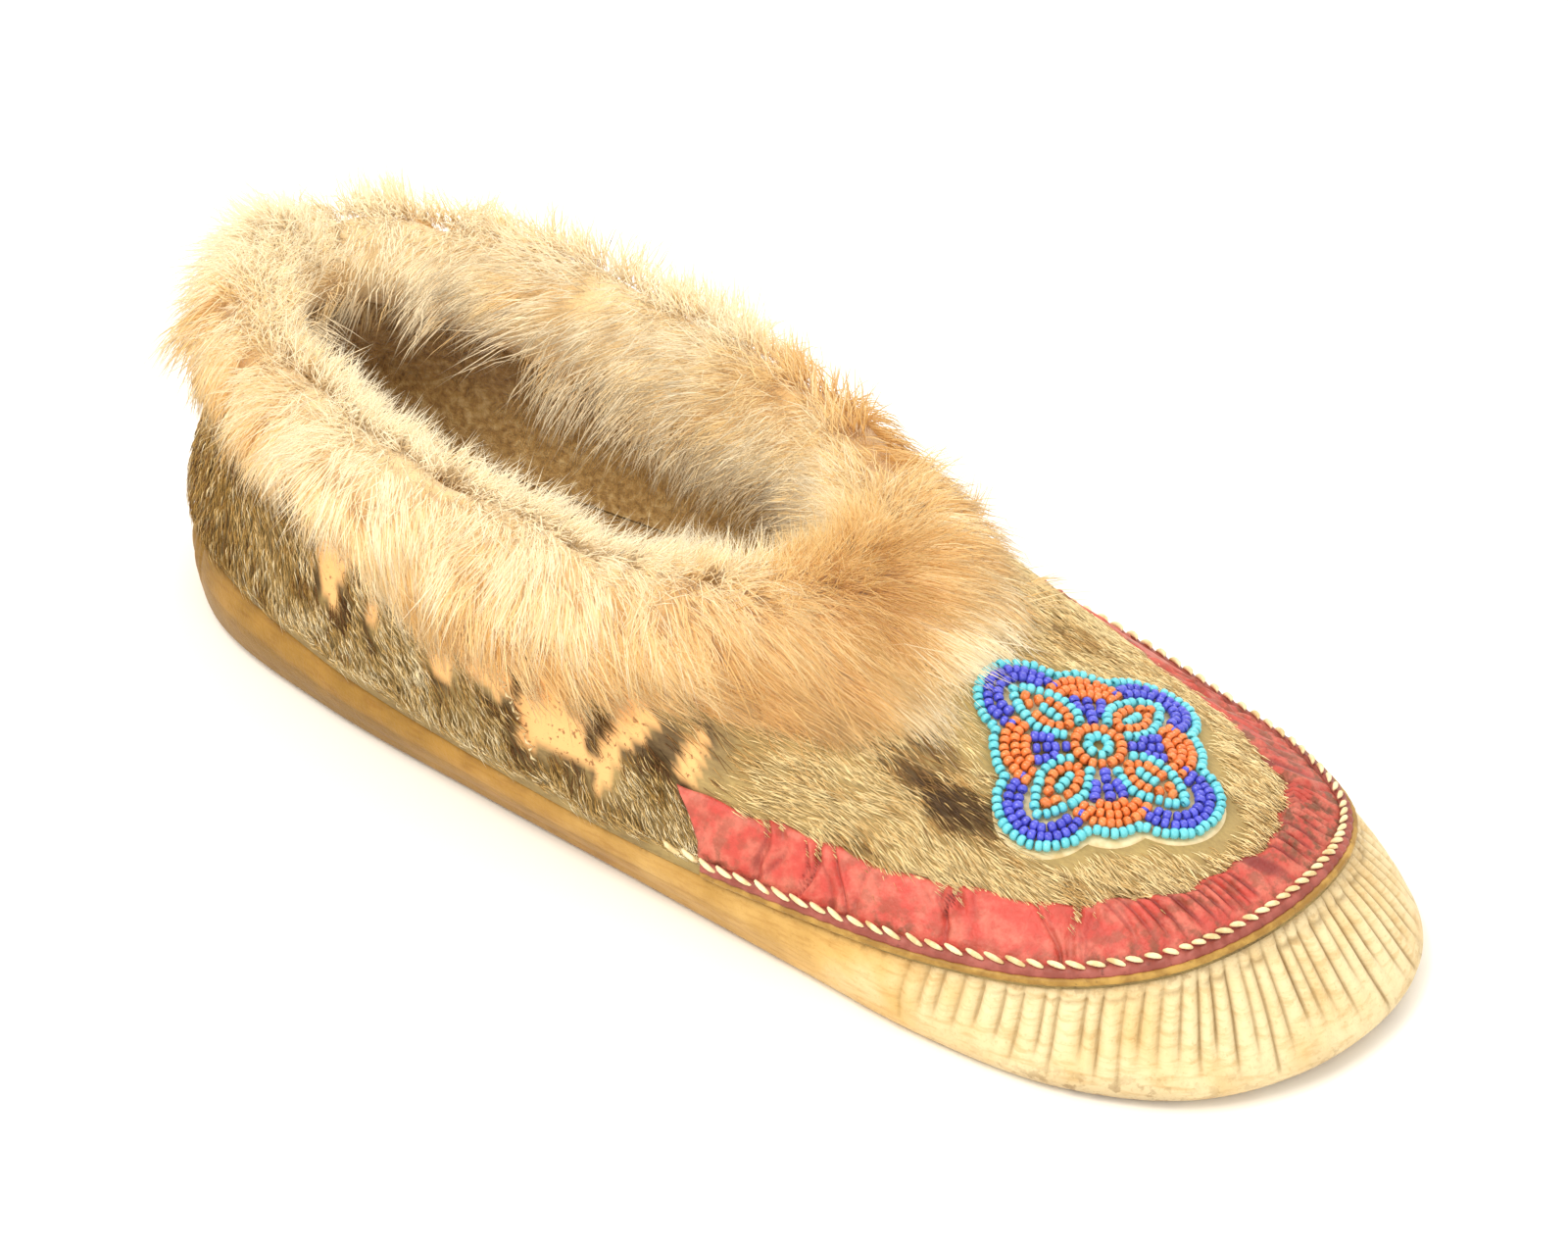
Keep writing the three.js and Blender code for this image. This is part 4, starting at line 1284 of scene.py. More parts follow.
        sole = shaped_grid(
            "sole_hide",
            self.around,
            len(heights) - 1,
            lambda u, v: self._profile(*place(u, v))[0],
            lambda u, v, p: self._marks(*place(u, v), p),
        )
        dress(sole, SmokedHide().material(), "sole_hide", "sole")
        dress(self._insole(), WoolFelt().material(), "insole_felt", "insole")

    def _insole(self) -> Piece:
        """The felt pad in the tray, with a T-shaped seam under the heel.

        Returns:
            The piece.
        """
        form, top = self.form, self.insole_thickness
        inset = self.edge_round + self.wall + form.clearance + 0.5
        stops = np.array([0, 0.3, 0.4, 0.5, 0.6, 1.0])
        insets = np.array([0, 0, 0, 0.3, 1.6, 0])
        heights = np.array([0, 0, 0.6, 0.9, 1.0, 1.0]) * top

        def place(u: Array, v: Array) -> Array:
            """Lays a point for each pair of shares."""
            turn = u * 2
            line, inward = form.sole_edge.at(turn), form.sole_edge.inward(turn)
            edge = line + inward * (inset + np.interp(v, stops, insets))[:, None]
            other = form.sole_edge.at(2 - turn) + form.sole_edge.inward(2 - turn) * inset
            middle = (line + inward * inset + other) / 2
            share = np.interp(v, [0, 0.3, 0.6, 1], [1, 0, 0, 1])[:, None]
            point = edge * (1 - share) + middle * share
            nap = 0.5 * (mottle(point, 5, 21) - 0.5) * (v > 0.6)
            point[:, 2] = self.wall + form.clearance + np.interp(v, stops, heights) + form.spring(point[:, 0]) + nap
            point[:, 2] -= 0.8 * self._seam_at(point) * (v > 0.5)
            return point

        def marks(u: Array, v: Array, points: Array) -> dict[str, Array]:
            """Gives the values that the finish reads."""
            # The heel value is painted shadow, growing towards the inside of the shoe's heel.
            return {"seam": self._seam_at(points) * (v > 0.5), "heel": smooth(-76, -100, points[:, 0])}

        return shaped_grid("felt_insole", 200, 28, place, marks)

    @staticmethod
    def _seam_at(point: Array) -> Array:
        """How deep in the T-shaped seam a point lies: a line across before the heel, and one back from its middle.

        Args:
            point: (n, 3) points in mm.

        Returns:
            Values from 0 to 1.
        """
        x, y = point[:, 0], point[:, 1]
        crossing, half_width = -72, 0.8
        across = np.exp(-(((x - crossing) / half_width) ** 2)) * (np.abs(y) < 26)
        back = np.exp(-((y / half_width) ** 2)) * (x < crossing) * (x > -112)
        return np.maximum(across, back)


@dataclass
class Upper:
    """The sealskin vamp and quarters with their flat hair, and the wool lining inside them."""

    form: FootForm
    wall: float = 2.4
    lining: float = 0.8
    band_start: float = 0.55
    band_foot: float = 3.8
    vamp_hairs: int = 17500
    quarter_hairs: int = 19000
    lining_hairs: int = 7000
    side_seam: float = -28.0

    def band_top(self, turn: Array) -> Array:
        """How far up the skin the red band's top edge lies."""
        side, toe = 13.5, 9.0
        return self.band_foot + side + (toe - side) * smooth(0.75, 1.0, halfway(turn))

    def worn(self, points: Array, wider: float = 0.0) -> Array:
        """How bare the skin is, from 0 to 1. The lateral side is worn like the medial one, less and elsewhere.

        Args:
            points: (..., 3) points in mm.
            wider: how much wider the patches are taken to be.

        Returns:
            Values from 0 to 1.
        """
        total = np.zeros(points.shape[:-1])
        ragged = mottle(points, 2.0, 31) + 0.7 * mottle(points, 0.8, 32)
        medial = points[..., 1] < 0
        x = np.where(medial, points[..., 0], -58 - points[..., 0])
        for along, height, half_length, half_height, rough in WORN:
            away = np.hypot((x - along) / half_length, (points[..., 2] - height) / half_height)
            total = np.maximum(total, 1 - smooth(0.94, 1.02, away + rough * (ragged - 0.85) - wider))
        return total * (points[..., 0] < 14) * np.where(medial, 1.0, 0.9)

    def shade(self, points: Array) -> Array:
        """How dark the sealskin is: greyer on the quarters, tan on the vamp, with dark spots.

        Args:
            points: (..., 3) points in mm.

        Returns:
            Values from 0 to 1.
        """
        quarter = smooth(14, 4, points[..., 0] - 0.25 * np.maximum(points[..., 2] - 32, 0))
        shade = 0.14 + 0.1 * quarter + 0.28 * smooth(-84, -108, points[..., 0])
        shade = shade + 0.3 * (mottle(points, 13, 41) - 0.5) + 0.26 * (mottle(points, 4, 42) - 0.5)
        ragged = mottle(points, 5, 43)
        for centre, radius, dark in DARK:
            stretch = 0.62 if centre[0] > 20 else 1.0
            away = np.linalg.norm((points - np.array(centre)) * (stretch, 1.0, 1.0), axis=-1)
            shade = np.maximum(shade, dark * (1 - smooth(0.45, 1.1, away / radius + 0.8 * (ragged - 0.5))))
        rim = self.worn(points, 0.4) * (1 - self.worn(points)) * smooth(0.35, 0.6, mottle(points, 4, 44))
        shade = np.maximum(shade, 0.8 * rim)
        near_seam = smooth(2.2, 0.4, np.abs(points[..., 0] - self.side_seam)) * (points[..., 2] < 41)
        return np.clip(np.maximum(shade, 0.75 * near_seam * (points[..., 2] > 24)), 0, 1)

    def _wall_point(self, turn: Array, v: Array) -> Array:
        """The wall's section: up the outside, over the collar and down the inside.

        Args:
            turn: places round the foot.
            v: places along the section, from 0 to 1.

        Returns:
            (n, 3) points in mm.
        """
        stops = (0, 0.5, 0.56, 0.96, 1.0)
        share = np.interp(v, stops, (0, 1, 1, 0, 0))
        depth = np.interp(v, stops, (0, 0, self.wall, self.wall, 0))
        point, normal, _ = self.form.skin(turn, share)
        flow = 0.5 * (mottle(point, 17, 51) - 0.5) * smooth(0.02, 0.1, v) * (v < 0.5)
        seam = np.exp(-(((halfway(turn) - self.band_start) * 150) ** 2)) * (v < 0.5) * (v > 0.02)
        above = smooth(0.0, 1.6, share * self.form.length_at(turn) - self.band_top(turn))
        lift = 0.9 * above * (halfway(turn) > self.band_start) * (v < 0.49)
        level = self.form.sole_edge.inward(turn)
        inside = point + np.where((share < 0.08)[:, None], level, -normal) * depth[:, None]
        return inside + normal * (flow - 0.5 * seam + lift)[:, None]

    def build(self) -> None:
        """Builds and dresses the wall, its lining and its hair."""
        wall = shaped_grid(
            "sealskin_upper",
            400,
            40,
            lambda u, v: self._wall_point(u * 2, v),
            lambda u, v, p: {"shade": self.shade(p), "bare": self.worn(p) * (v < 0.5)},
        )
        dress(wall, SealHide().material(), "sealskin", "upper")
        dress(self._lining(), FuzzyLining().material(), "sealskin")
        dress(self._lining_nap(), FuzzyLining().material(), "sealskin")
        vamp = SealHair(
            "seal_hair_vamp",
            ((0.0, "#F8E2AC"), (0.16, "#E6C688"), (0.36, "#C9A05E"), (0.6, "#8A6436"), (1.0, "#3A2614")),
        )
        quarter = SealHair(
            "seal_hair_quarter",
            ((0.0, "#F9EBC6"), (0.14, "#DDC084"), (0.36, "#B28C46"), (0.62, "#785122"), (1.0, "#42280F")),
        )
        dress(self._vamp_coat(), vamp.material(), "sealskin")
        for side in Side:
            dress(self._quarter_coat(side), quarter.material(), "sealskin")
        dress(self._seam_threads(), SinewThread().material(), "sealskin")

    def _lining(self) -> Piece:
        """The duffle lining, a thin shell that lies against the wall's inside and comes down to the insole.

        Returns:
            The piece.
        """

        def place(u: Array, v: Array) -> Array:
            """Lays a point for each pair of shares."""
            turn = u * 2
            share = np.interp(v, [0, 0.14, 0.5, 0.86, 1.0], [0.1, 0.1, 0.97, 0.1, 0.1])
            inner = smooth(0.5, 0.53, v)
            ruffle = self.lining + 0.6 * mottle(self.form.skin(turn, share)[0], 3, 52)
            point, normal, _ = self.form.skin(turn, share)
            point = point - normal * (self.wall + self.form.clearance + inner * ruffle)[:, None]
            level = self.form.sole_edge.inward(turn)
            foot = self.form.sole_edge.at(turn) + level * (8.4 + 0.9 * inner)[:, None]
            foot[:, 2] = 6.7 + 0.7 * inner + self.form.spring(foot[:, 0])
            low = np.interp(v, [0, 0.14, 0.86, 1.0], [1, 0, 0, 1])[:, None]
            return point * (1 - low) + foot * low

        return shaped_grid("duffle_lining", 200, 34, place)

    def _lining_nap(self) -> Piece:
        """Short fuzz that stands off the lining and the insole.

        Returns:
            The piece.
        """
        rng = np.random.default_rng(61)
        count = self.lining_hairs
        turn = rng.uniform(0, 2, count)
        share = rng.uniform(0.08, 0.92, count)
        point, normal, up = self.form.skin(turn, share)
        root = point - normal * (self.wall + self.form.clearance + self.lining - 0.3)
        on_pad = rng.random(count) < 0.45
        edge = self.form.sole_edge.at(turn) + self.form.sole_edge.inward(turn) * 7.4
        middle = (edge + self.form.sole_edge.at(2 - turn)) / 2
        pad = edge + (middle - edge) * (rng.random(count) ** 1.2)[:, None]
        pad[:, 2] = 6.9 + self.form.spring(pad[:, 0])
        root = np.where(on_pad[:, None], pad, root)
        normal = np.where(on_pad[:, None], -UP, normal)
        seen = root[:, 0] < 60
        root, normal, up = root[seen], normal[seen], up[seen]
        count = len(root)
        way = unit(-normal * 0.6 + rng.normal(0, 0.6, (count, 3)) - up * 0.2)
        size = rng.uniform(1.8, 4.2, count)[:, None]
        bend = root + way * size * 0.55
        tip = root + way * size + rng.normal(0, 0.6, (count, 3))
        return strands("duffle_nap", np.stack([root, bend, tip], 1), rng.uniform(0.08, 0.15, count), {})

    def _seam_threads(self) -> Piece:
        """The short zigzag of thread that joins two skins on the medial quarter.

        Returns:
            The piece.
        """
        turns = np.linspace(0.2, 0.5, 400)
        turn = turns[np.argmin(np.abs(self.form.skin(turns, np.full(400, 0.4))[0][:, 0] - self.side_seam))]
        count, rise = 11, 0.9
        heights = np.linspace(8.5, 24.0, count)
        at = np.full(count, turn)
        around = np.where(np.arange(count) % 2, 1.0, -1.0) * 0.9 / 290
        path = [self.form.off(at + around * k, heights + k * 0.9, rise) for k in (-1, 0, 1)]
        sink = self.form.skin(at, np.full(count, 0.4))[1] * rise
        return strands("seam_threads", np.stack([path[0] - sink, path[1], path[2] - sink], 1), np.full(count, 0.3), {})

    def _lay(self, turn: Array, distance: Array, flow: Array, seed: int, name: str, size: float) -> Piece:
        """Lays flat hairs on the skin.

        Args:
            turn: where each hair is rooted, round the foot.
            distance: how far up the skin from the seam.
            flow: (n, 3) the way the hair lies.
            seed: which random hairs.
            name: the piece's name.
            size: how long the hair is.

        Returns:
            The coat as one mesh.
        """
        rng = np.random.default_rng(seed)
        point, normal, _ = self.form.skin(turn, distance / self.form.length_at(turn))
        point = point + normal * 0.5
        reached = point + unit(flow) * size * 0.6
        under = np.zeros(len(turn), bool)
        for x, y in ((p[:, :2] - ROSETTE_CENTRE).T for p in (point, reached)):
            under |= np.hypot(x, y) < flower_edge(np.arctan2(y, x)) - 0.3
        bare = np.maximum(self.worn(point), self.worn(point + unit(flow) * size * 0.5))
        keep = (rng.random(len(turn)) > bare * 1.04) & ~under
        point, normal, flow = point[keep], normal[keep], flow[keep]
        count = len(point)
        part = (mottle(point, 10, seed + 1) - 0.5) * 0.7 + (mottle(point, 2.5, seed + 3) - 0.5) * 0.6
        side = unit(np.cross(normal, flow))
        way = unit(flow - normal * np.sum(flow * normal, 1)[:, None])
        way = unit(way + side * (part + rng.normal(0, 0.12, count))[:, None])
        length = (size * rng.uniform(0.6, 1.3, count))[:, None]
        lift = rng.uniform(0.3, 1.1, count)[:, None]
        middle = point + way * length * 0.5 + normal * lift
        tip = point + way * length + normal * (lift * rng.uniform(0.5, 1.3, (count, 1)))
        shade = self.shade(point) + rng.normal(0, 0.08, count) + 0.26 * (mottle(point, 1.6, seed + 2) - 0.5)
        pale = rng.random(count) < 0.1
        dusky = rng.random(count) > 0.93
        shade = np.where(pale, shade * 0.35, shade + 0.32 * dusky)
        widths = rng.uniform(0.08, 0.15, count)
        return strands(name, np.stack([point - normal * 0.4, middle, tip], 1), widths, {"shade": np.clip(shade, 0, 1)})

    def _vamp_coat(self) -> Piece:
        """The vamp's hair, which lies towards the toe and spreads down to the band.

        Returns:
            The piece.
        """
        rng = np.random.default_rng(71)
        count = self.vamp_hairs * 4
        turn = rng.uniform(self.band_start, 2 - self.band_start, count)
        length = self.form.length_at(turn)
        low = self.band_top(turn) - 0.4
        distance = low + rng.random(count) * (length - low)
        point, _, up = self.form.skin(turn, distance / length)
        dense = 0.14 + 0.86 * smooth(12, 30, point[:, 0])
        crowd = np.linalg.norm(point[:, :2] - np.array([18.0, 0.0]), axis=1) / 55
        keep = rng.random(count) < np.clip(dense * crowd, 0.05, 1)
        pick = np.flatnonzero(keep)[: self.vamp_hairs]
        turn, distance, point, up = turn[pick], distance[pick], point[pick], up[pick]
        edge = smooth(4, 0, distance - self.band_top(turn))[:, None]
        flow = FORWARD - up * (0.24 + 0.6 * edge)
        flow[:, 1] += 0.1 * np.sign(point[:, 1])
        return self._lay(turn, distance, unit(flow), 72, "seal_hair_vamp", 8.0)

    def _quarter_coat(self, side: Side) -> Piece:
        """One quarter's hair, which lies towards the toe and down to the sole.

        Args:
            side: which quarter.

        Returns:
            The coat.
        """
        rng = np.random.default_rng(80 + side.value)
        count = self.quarter_hairs // 2
        turn = rng.uniform(0, self.band_start - 0.002, count)
        turn = turn if side is Side.MEDIAL else 2 - turn
        length = self.form.length_at(turn)
        distance = 2.6 + rng.random(count) * np.minimum(length * 0.82 - 2, 30)
        point, _, up = self.form.skin(turn, distance / length)
        heel = smooth(-85, -122, point[:, 0])[:, None]
        low = smooth(8, 2.5, distance)[:, None]
        flow = FORWARD * (0.5 - 0.3 * heel + 0.7 * low) - up * (0.85 + 0.1 * heel - 0.85 * low)
        return self._lay(turn, distance, unit(flow), 82 + side.value, f"seal_hair_{side.name.lower()}", 5.2)


@dataclass
class Band:
    """The red leather band, the rolled welt, its brown edge strip and the whip stitches along it."""

    form: FootForm
    upper: Upper
    foot: float = 3.2
    thickness: float = 0.9
    welt_radius: float = 0.8
    stitch_pitch: float = 3.75
    stitch_length: float = 3.8

    def _turns(self, u: Array) -> Array:
        """Turns round the forepart, from one end of the band to the other."""
        start = self.upper.band_start
        return start + u * 2 * (1 - start)

    def _folds(self, turn: Array, across: Array) -> tuple[Array, Array]:
        """The band's relief in mm, and how deep in a fold it lies, which is painted darker as shade.

        Gathers are pressed round the toe, where the strip is eased into the curve, and long slack folds run
        slantwise along the sides.

        Args:
            turn: places round the foot.
            across: places from the band's foot to its top, from 0 to 1.

        Returns:
            The relief, and the depth from 0 to 1 that is painted as shade.
        """
        half_length = self.form.sole_edge.length / 2
        arc = turn * half_length
        toe = smooth(0.78, 0.88, halfway(turn))
        wave = arc / 4.6 + 0.8 * np.sin(arc / 9.1) + 0.5 * np.sin(arc / 4.3 + 1) + 0.25 * across
        gather = 0.5 + 0.5 * np.cos(2 * math.pi * wave)
        rise = toe * (1.3 * gather**0.6) * smooth(-0.1, 0.75, across)
        # Painted shade in the valleys between the gathers.
        dark = toe * smooth(0.3, 0.02, gather) * smooth(0.05, 0.6, across)
        rng = np.random.default_rng(91)
        for _ in range(130):
            centre = rng.uniform(self.upper.band_start, 2 - self.upper.band_start)
            slant = 4 * rng.normal() + (6.5 if centre < 1 else -6.5)
            width = rng.uniform(0.3, 1.2)
            low, high = sorted(rng.uniform(-0.3, 1.3, 2))
            depth = rng.uniform(0.3, 0.95) * (0.35 + 0.65 * smooth(0.86, 0.7, halfway(np.array(centre))))
            wander = 0.8 * np.sin(across * 5 + centre * 90)
            away = (turn - centre) * half_length - slant * (across - 0.5) - wander
            along = smooth(low, low + 0.25, across) * smooth(high + 0.25, high, across)
            rise = rise - depth * np.exp(-((away / width) ** 2)) * along
            rise = rise + 0.6 * depth * np.exp(-(((away - 2.0 * width) / (1.4 * width)) ** 2)) * along
            # Painted shade along each fold's groove.
            dark = np.maximum(dark, 0.9 * depth * np.exp(-((away / (0.5 * width)) ** 2)) * along)
        return rise, dark

    def build(self) -> None:
        """Builds and dresses the four strips."""
        dress(self._band(), DyedLeather().material(), "red_leather", "red_band")
        welt = TanLeather("rolled_cowhide", "#97702E", "#BC9549", "#553A14")
        dress(self._welt(), welt.material(), "welt_leather", "welt")
        edge = TanLeather("brick_leather", "#8C453A", "#A65A50", "#552C22")
        dress(self._edge_strip(), edge.material(), "welt_leather")
        dress(self._stitches(), SinewThread().material(), "welt_leather")

    def _band(self) -> Piece:
        """The band as a folded sheet with a real thickness.

        Returns:
            The piece.
        """
        form = self.form

        def distance(turn: Array, v: Array) -> Array:
            """How far up the skin each row of the band lies."""
            wander = 0.6 * np.sin(turn * 61) + 0.5 * np.sin(turn * 143 + 1)
            return self.foot + (self.upper.band_top(turn) + 0.9 + wander - self.foot) * v

        def place(u: Array, v: Array) -> Array:
            """Lays a point for each pair of shares."""
            turn = self._turns(u)
            rise = self._folds(turn, v)[0]
            tuck = smooth(0.86, 1.0, v) * 0.9 + smooth(0.14, 0.0, v) * 0.8
            height = form.clearance + self.thickness + 0.6 + rise - tuck * (0.7 + np.maximum(rise, 0))
            return form.off(turn, distance(turn, v), height)

        def marks(u: Array, v: Array, points: Array) -> dict[str, Array]:
            """Gives the values that the finish reads."""
            turn = self._turns(u)
            dark = self._folds(turn, v)[1]
            toe = smooth(0.72, 0.92, halfway(turn))
            far = smooth(0.98, 1.06, turn)
            grime = 0.22 + 0.4 * toe + 0.35 * far + 0.4 * smooth(0.35, 0.0, v) + 0.7 * (mottle(points, 10, 92) - 0.5)
            # The fold value is painted shade in the folds and gathers.
            return {"fold_shade": np.clip(dark * 0.95, 0, 0.9), "grime": np.clip(grime, 0, 1)}

        band = shaped_grid("folded_band", 720, 17, place, marks)
        apply_modifier(band, "SOLIDIFY", thickness=self.thickness * MM, offset=-1.0)
        bpy.ops.object.shade_smooth()
        return band

    def _welt(self) -> Piece:
        """The rolled welt over the seam: a round cord, a little lumpy, whose ends close.

        Returns:
            The piece.
        """
        count, radius = 480, self.welt_radius
        turns = self._turns(np.linspace(0, 1, count))
        path = self.form.off(turns, np.ones(count), radius + 0.15)
        along = unit(np.gradient(path, axis=0))
        side = unit(np.cross(along, self.form.skin(turns, np.full(count, 0.03))[1]))
        over = np.cross(side, along)
        k = np.arange(count)
        girth = radius * (1 + 0.06 * np.sin(k * 0.9) * np.sin(k * 0.23))
        girth[[0, 1, -2, -1]] *= (0.0, 0.75, 0.75, 0.0)

        def place(u: Array, v: Array) -> Array:
            """Lays a point for each pair of shares."""
            i = np.clip(np.rint(u * (count - 1)).astype(int), 0, count - 1)
            angle = -2 * math.pi * v
            ring = side[i] * np.cos(angle)[:, None] + over[i] * np.sin(angle)[:, None]
            return path[i] + ring * girth[i][:, None]

        return shaped_grid("rolled_welt", count - 1, 10, place)

    def _edge_strip(self) -> Piece:
        """The brown strip between the roll and the band, which the stitches go round.

        Returns:
            The piece.
        """
        section = np.array([
            (1.4, 0.5), (1.3, 1.4), (1.8, 2.1), (2.7, 2.35), (3.6, 2.0), (3.9, 1.2), (3.7, 0.6), (1.4, 0.5),
        ])
        end_reach, end_height = 3.2, 1.2

        def place(u: Array, v: Array) -> Array:
            """Lays a point for each pair of shares."""
            turn = self._turns(0.001 + 0.998 * u)
            step = np.linspace(0, 1, len(section))
            reach, height = (np.interp(v, step, section[:, k]) for k in range(2))
            ends = np.where((u < 0.0001) | (u > 0.9999), 0.0, 1.0)
            puckers = 0.18 * np.sin(turn * self.form.sole_edge.length * math.pi / self.stitch_pitch)
            reach = end_reach + (reach - end_reach) * ends
            return self.form.off(turn, reach, end_height + (height - end_height + puckers) * ends)

        return shaped_grid("brick_edge_strip", 600, 10, place)

    def _stitches(self) -> Piece:
        """Whip stitches: short fat threads that lie slantwise over the edge strip, each dipping at both ends.

        Returns:
            The piece.
        """
        form = self.form
        length = form.sole_edge.length
        count = int(0.97 * length * (1 - self.upper.band_start) / self.stitch_pitch)
        rng = np.random.default_rng(95)
        u = (np.arange(-2, count) + 0.5) / count + rng.normal(0, 0.0006, count + 2)
        turn = self._turns(u)
        count = len(turn)
        step = self.stitch_length / length
        slant = rng.normal(0.78, 0.12, count)
        size = rng.uniform(0.9, 1.12, count)
        spans = np.array([-1.0, -0.84, -0.48, 0.0, 0.48, 0.84, 1.0])
        rise = np.array([-0.55, 0.05, 0.5, 0.62, 0.5, 0.05, -0.55])
        girth = np.array([0.0, 0.28, 0.47, 0.54, 0.47, 0.28, 0.0])
        seat = np.where(u > 0, 2.35, 1.3)
        path = np.stack(
            [form.off(turn + s * step * size, 3.7 - slant * s * 0.8, seat + r * 0.6) for s, r in zip(spans, rise)],
            1,
        )
        along = unit(np.gradient(path, axis=1))
        normal = form.skin(turn, 4.0 / form.length_at(turn))[1][:, None]
        side = unit(np.cross(along, normal))
        over = np.cross(side, along)
        rows, corners = len(spans), 7
        angles = -np.arange(corners) * 2 * math.pi / corners
        ring = side[:, :, None] * np.cos(angles)[:, None] + over[:, :, None] * np.sin(angles)[:, None]
        points = path[:, :, None] + ring * girth[:, None, None]
        faces = ring_faces(rows, corners)[:, [0, 3, 2, 1]]
        shift = np.arange(count)[:, None, None] * rows * corners
        piece = mesh_from("whip_stitches", points.reshape(-1, 3), (faces[None] + shift).reshape(-1, 4))
        weld(piece)
        return piece


@dataclass
class Cuff:
    """The long fur strip that saddles the collar, as a bed of underfur and locks of single hairs."""

    form: FootForm
    drop: float = 21.0
    wall: float = 2.4
    ceiling: float = 79.5
    columns: int = 720
    rows: int = 96

    def __post_init__(self) -> None:
        """Charts the bed that the hair grows from."""
        turns = np.linspace(0, 2, self.columns + 1)
        places = np.linspace(0, 1, self.rows + 1)
        knots = self._knots(turns)
        self.chart = np.stack([through(knots, np.full(len(turns), place)) for place in places], 1)
        down = np.gradient(self.chart, axis=1)
        along = np.gradient(self.chart, axis=0)
        along[0] = along[-1] = self.chart[1] - self.chart[-2]
        self.downs = unit(down)
        self.outs = unit(np.cross(down, along))

    def _drop_at(self, turn: Array) -> Array:
        """How far the cuff hangs outside."""
        half = halfway(turn)
        return self.drop * column_at(CUFF_FALL, half, 1) + self.form.vamp_length * column_at(CUFF_FALL, half, 2)

    def _knots(self, turn: Array) -> Array:
        """(n, k, 3) the bed's section from its inner hem, over the collar, to its outer hem.

        Args:
            turn: places round the foot.

        Returns:
            The points in mm.
        """
        form, half, around = self.form, halfway(turn), np.mod(turn, 2.0)
        bulk = column_at(CUFF_FALL, half, 3) * (1 + 0.1 * np.sin(turn * 31) + 0.07 * np.sin(turn * 53 + 1.3))
        tall, tucked, full = (column_at(FUR_FORM, around, k) for k in (1, 2, 3))
        rim, normal, up = form.skin(turn, np.ones(len(turn)))
        inner = self.wall + 0.9

        def rise_to(out: Array | float, height: float) -> Array:
            """Points beside and above the collar's rim."""
            return rim + normal * (out * bulk)[:, None] + up * (height * bulk * tall)[:, None]

        def hang(reach: float, out: float) -> Array:
            """Points off the skin, down the outside."""
            return form.off(turn, self._drop_at(turn) * reach, 0.4 + out * bulk, True)

        tuck = ((1, 0), (0.85, 0.75), (0.3, 1))
        inside = [form.off(turn, tucked * reach, -(inner + full * out), True) for reach, out in tuck]
        crest = [rise_to(-(0.5 * full + 3.2), 3.4), rise_to(-1.4, 5.6), rise_to(3.8, 4.4)]
        fall = [hang(*at) for at in ((0.12, 6.6), (0.4, 6.8), (0.68, 5.6), (0.88, 3.6), (1.0, 0.8))]
        return np.stack(inside + crest + fall, 1)

    def _bed(self) -> Piece:
        """The bed as a closed shell: its outer face, and a face that lies on the collar.

        Returns:
            The piece.
        """
        form, face_end = self.form, 0.7

        def place(u: Array, v: Array) -> Array:
            """Lays a point for each pair of shares."""
            turn = u * 2
            knots, over = self._knots(turn), np.clip(v / face_end, 0, 1)
            face = through(knots, over)
            tufts = (mottle(face, 4.5, 101) - 0.5) * 1.6 + (mottle(face, 2.0, 102) - 0.5) * 0.8
            away = unit(face - form.skin(turn, np.full(len(turn), 0.93))[0])
            face = face + away * ((tufts - 1.8) * np.sin(over * math.pi))[:, None]
            back = np.clip((v - face_end) / (1 - face_end), 0, 1)
            hem = column_at(FUR_FORM, np.mod(turn, 2.0), 2) * 0.8
            reach = np.interp(back, (0, 0.55), (1, 0)) * self._drop_at(turn) + np.interp(back, (0.7, 1), (0, 1)) * hem
            depth = np.interp(back, (0.55, 0.7), (0.4, -self.wall - 0.4))
            under = form.off(turn, reach, depth, True)
            points = np.where((v <= face_end)[:, None], face, under)
            # The last row lies on the first, so that the shell closes.
            return np.where((v >= 0.9999)[:, None], through(knots, np.zeros(len(turn))), points)

        def marks(u: Array, v: Array, points: Array) -> dict[str, Array]:
            """Gives the values that the finish reads."""
            return {"tone": self._tone_and_shade(points, u * 2, np.clip(v / face_end, 0, 1))}

        return shaped_grid("underfur_bed", 300, 44, place, marks)

    def _look(self, turn: Array, place: Array) -> tuple[Array, Array, Array]:
        """Points of the bed with their outward and downward directions."""
        points, outs, downs = on_charts((self.chart, self.outs, self.downs), turn, place)
        return points, unit(outs), unit(downs)

    def _tone_and_shade(self, points: Array, turn: Array, place: Array) -> Array:
        """How pale the fur is: white on the crest and the front's fringe, golden outside, tan inside and in front,
        partly as painted shade.

        Args:
            points: (n, 3) points in mm.
            turn: places round the foot.
            place: places over the bed, from 0 to 1.

        Returns:
            Tones, pale at 1.
        """
        half = halfway(turn)
        lateral = smooth(1.0, 1.15, np.mod(turn, 2.0)) * smooth(2.0, 1.93, np.mod(turn, 2.0))
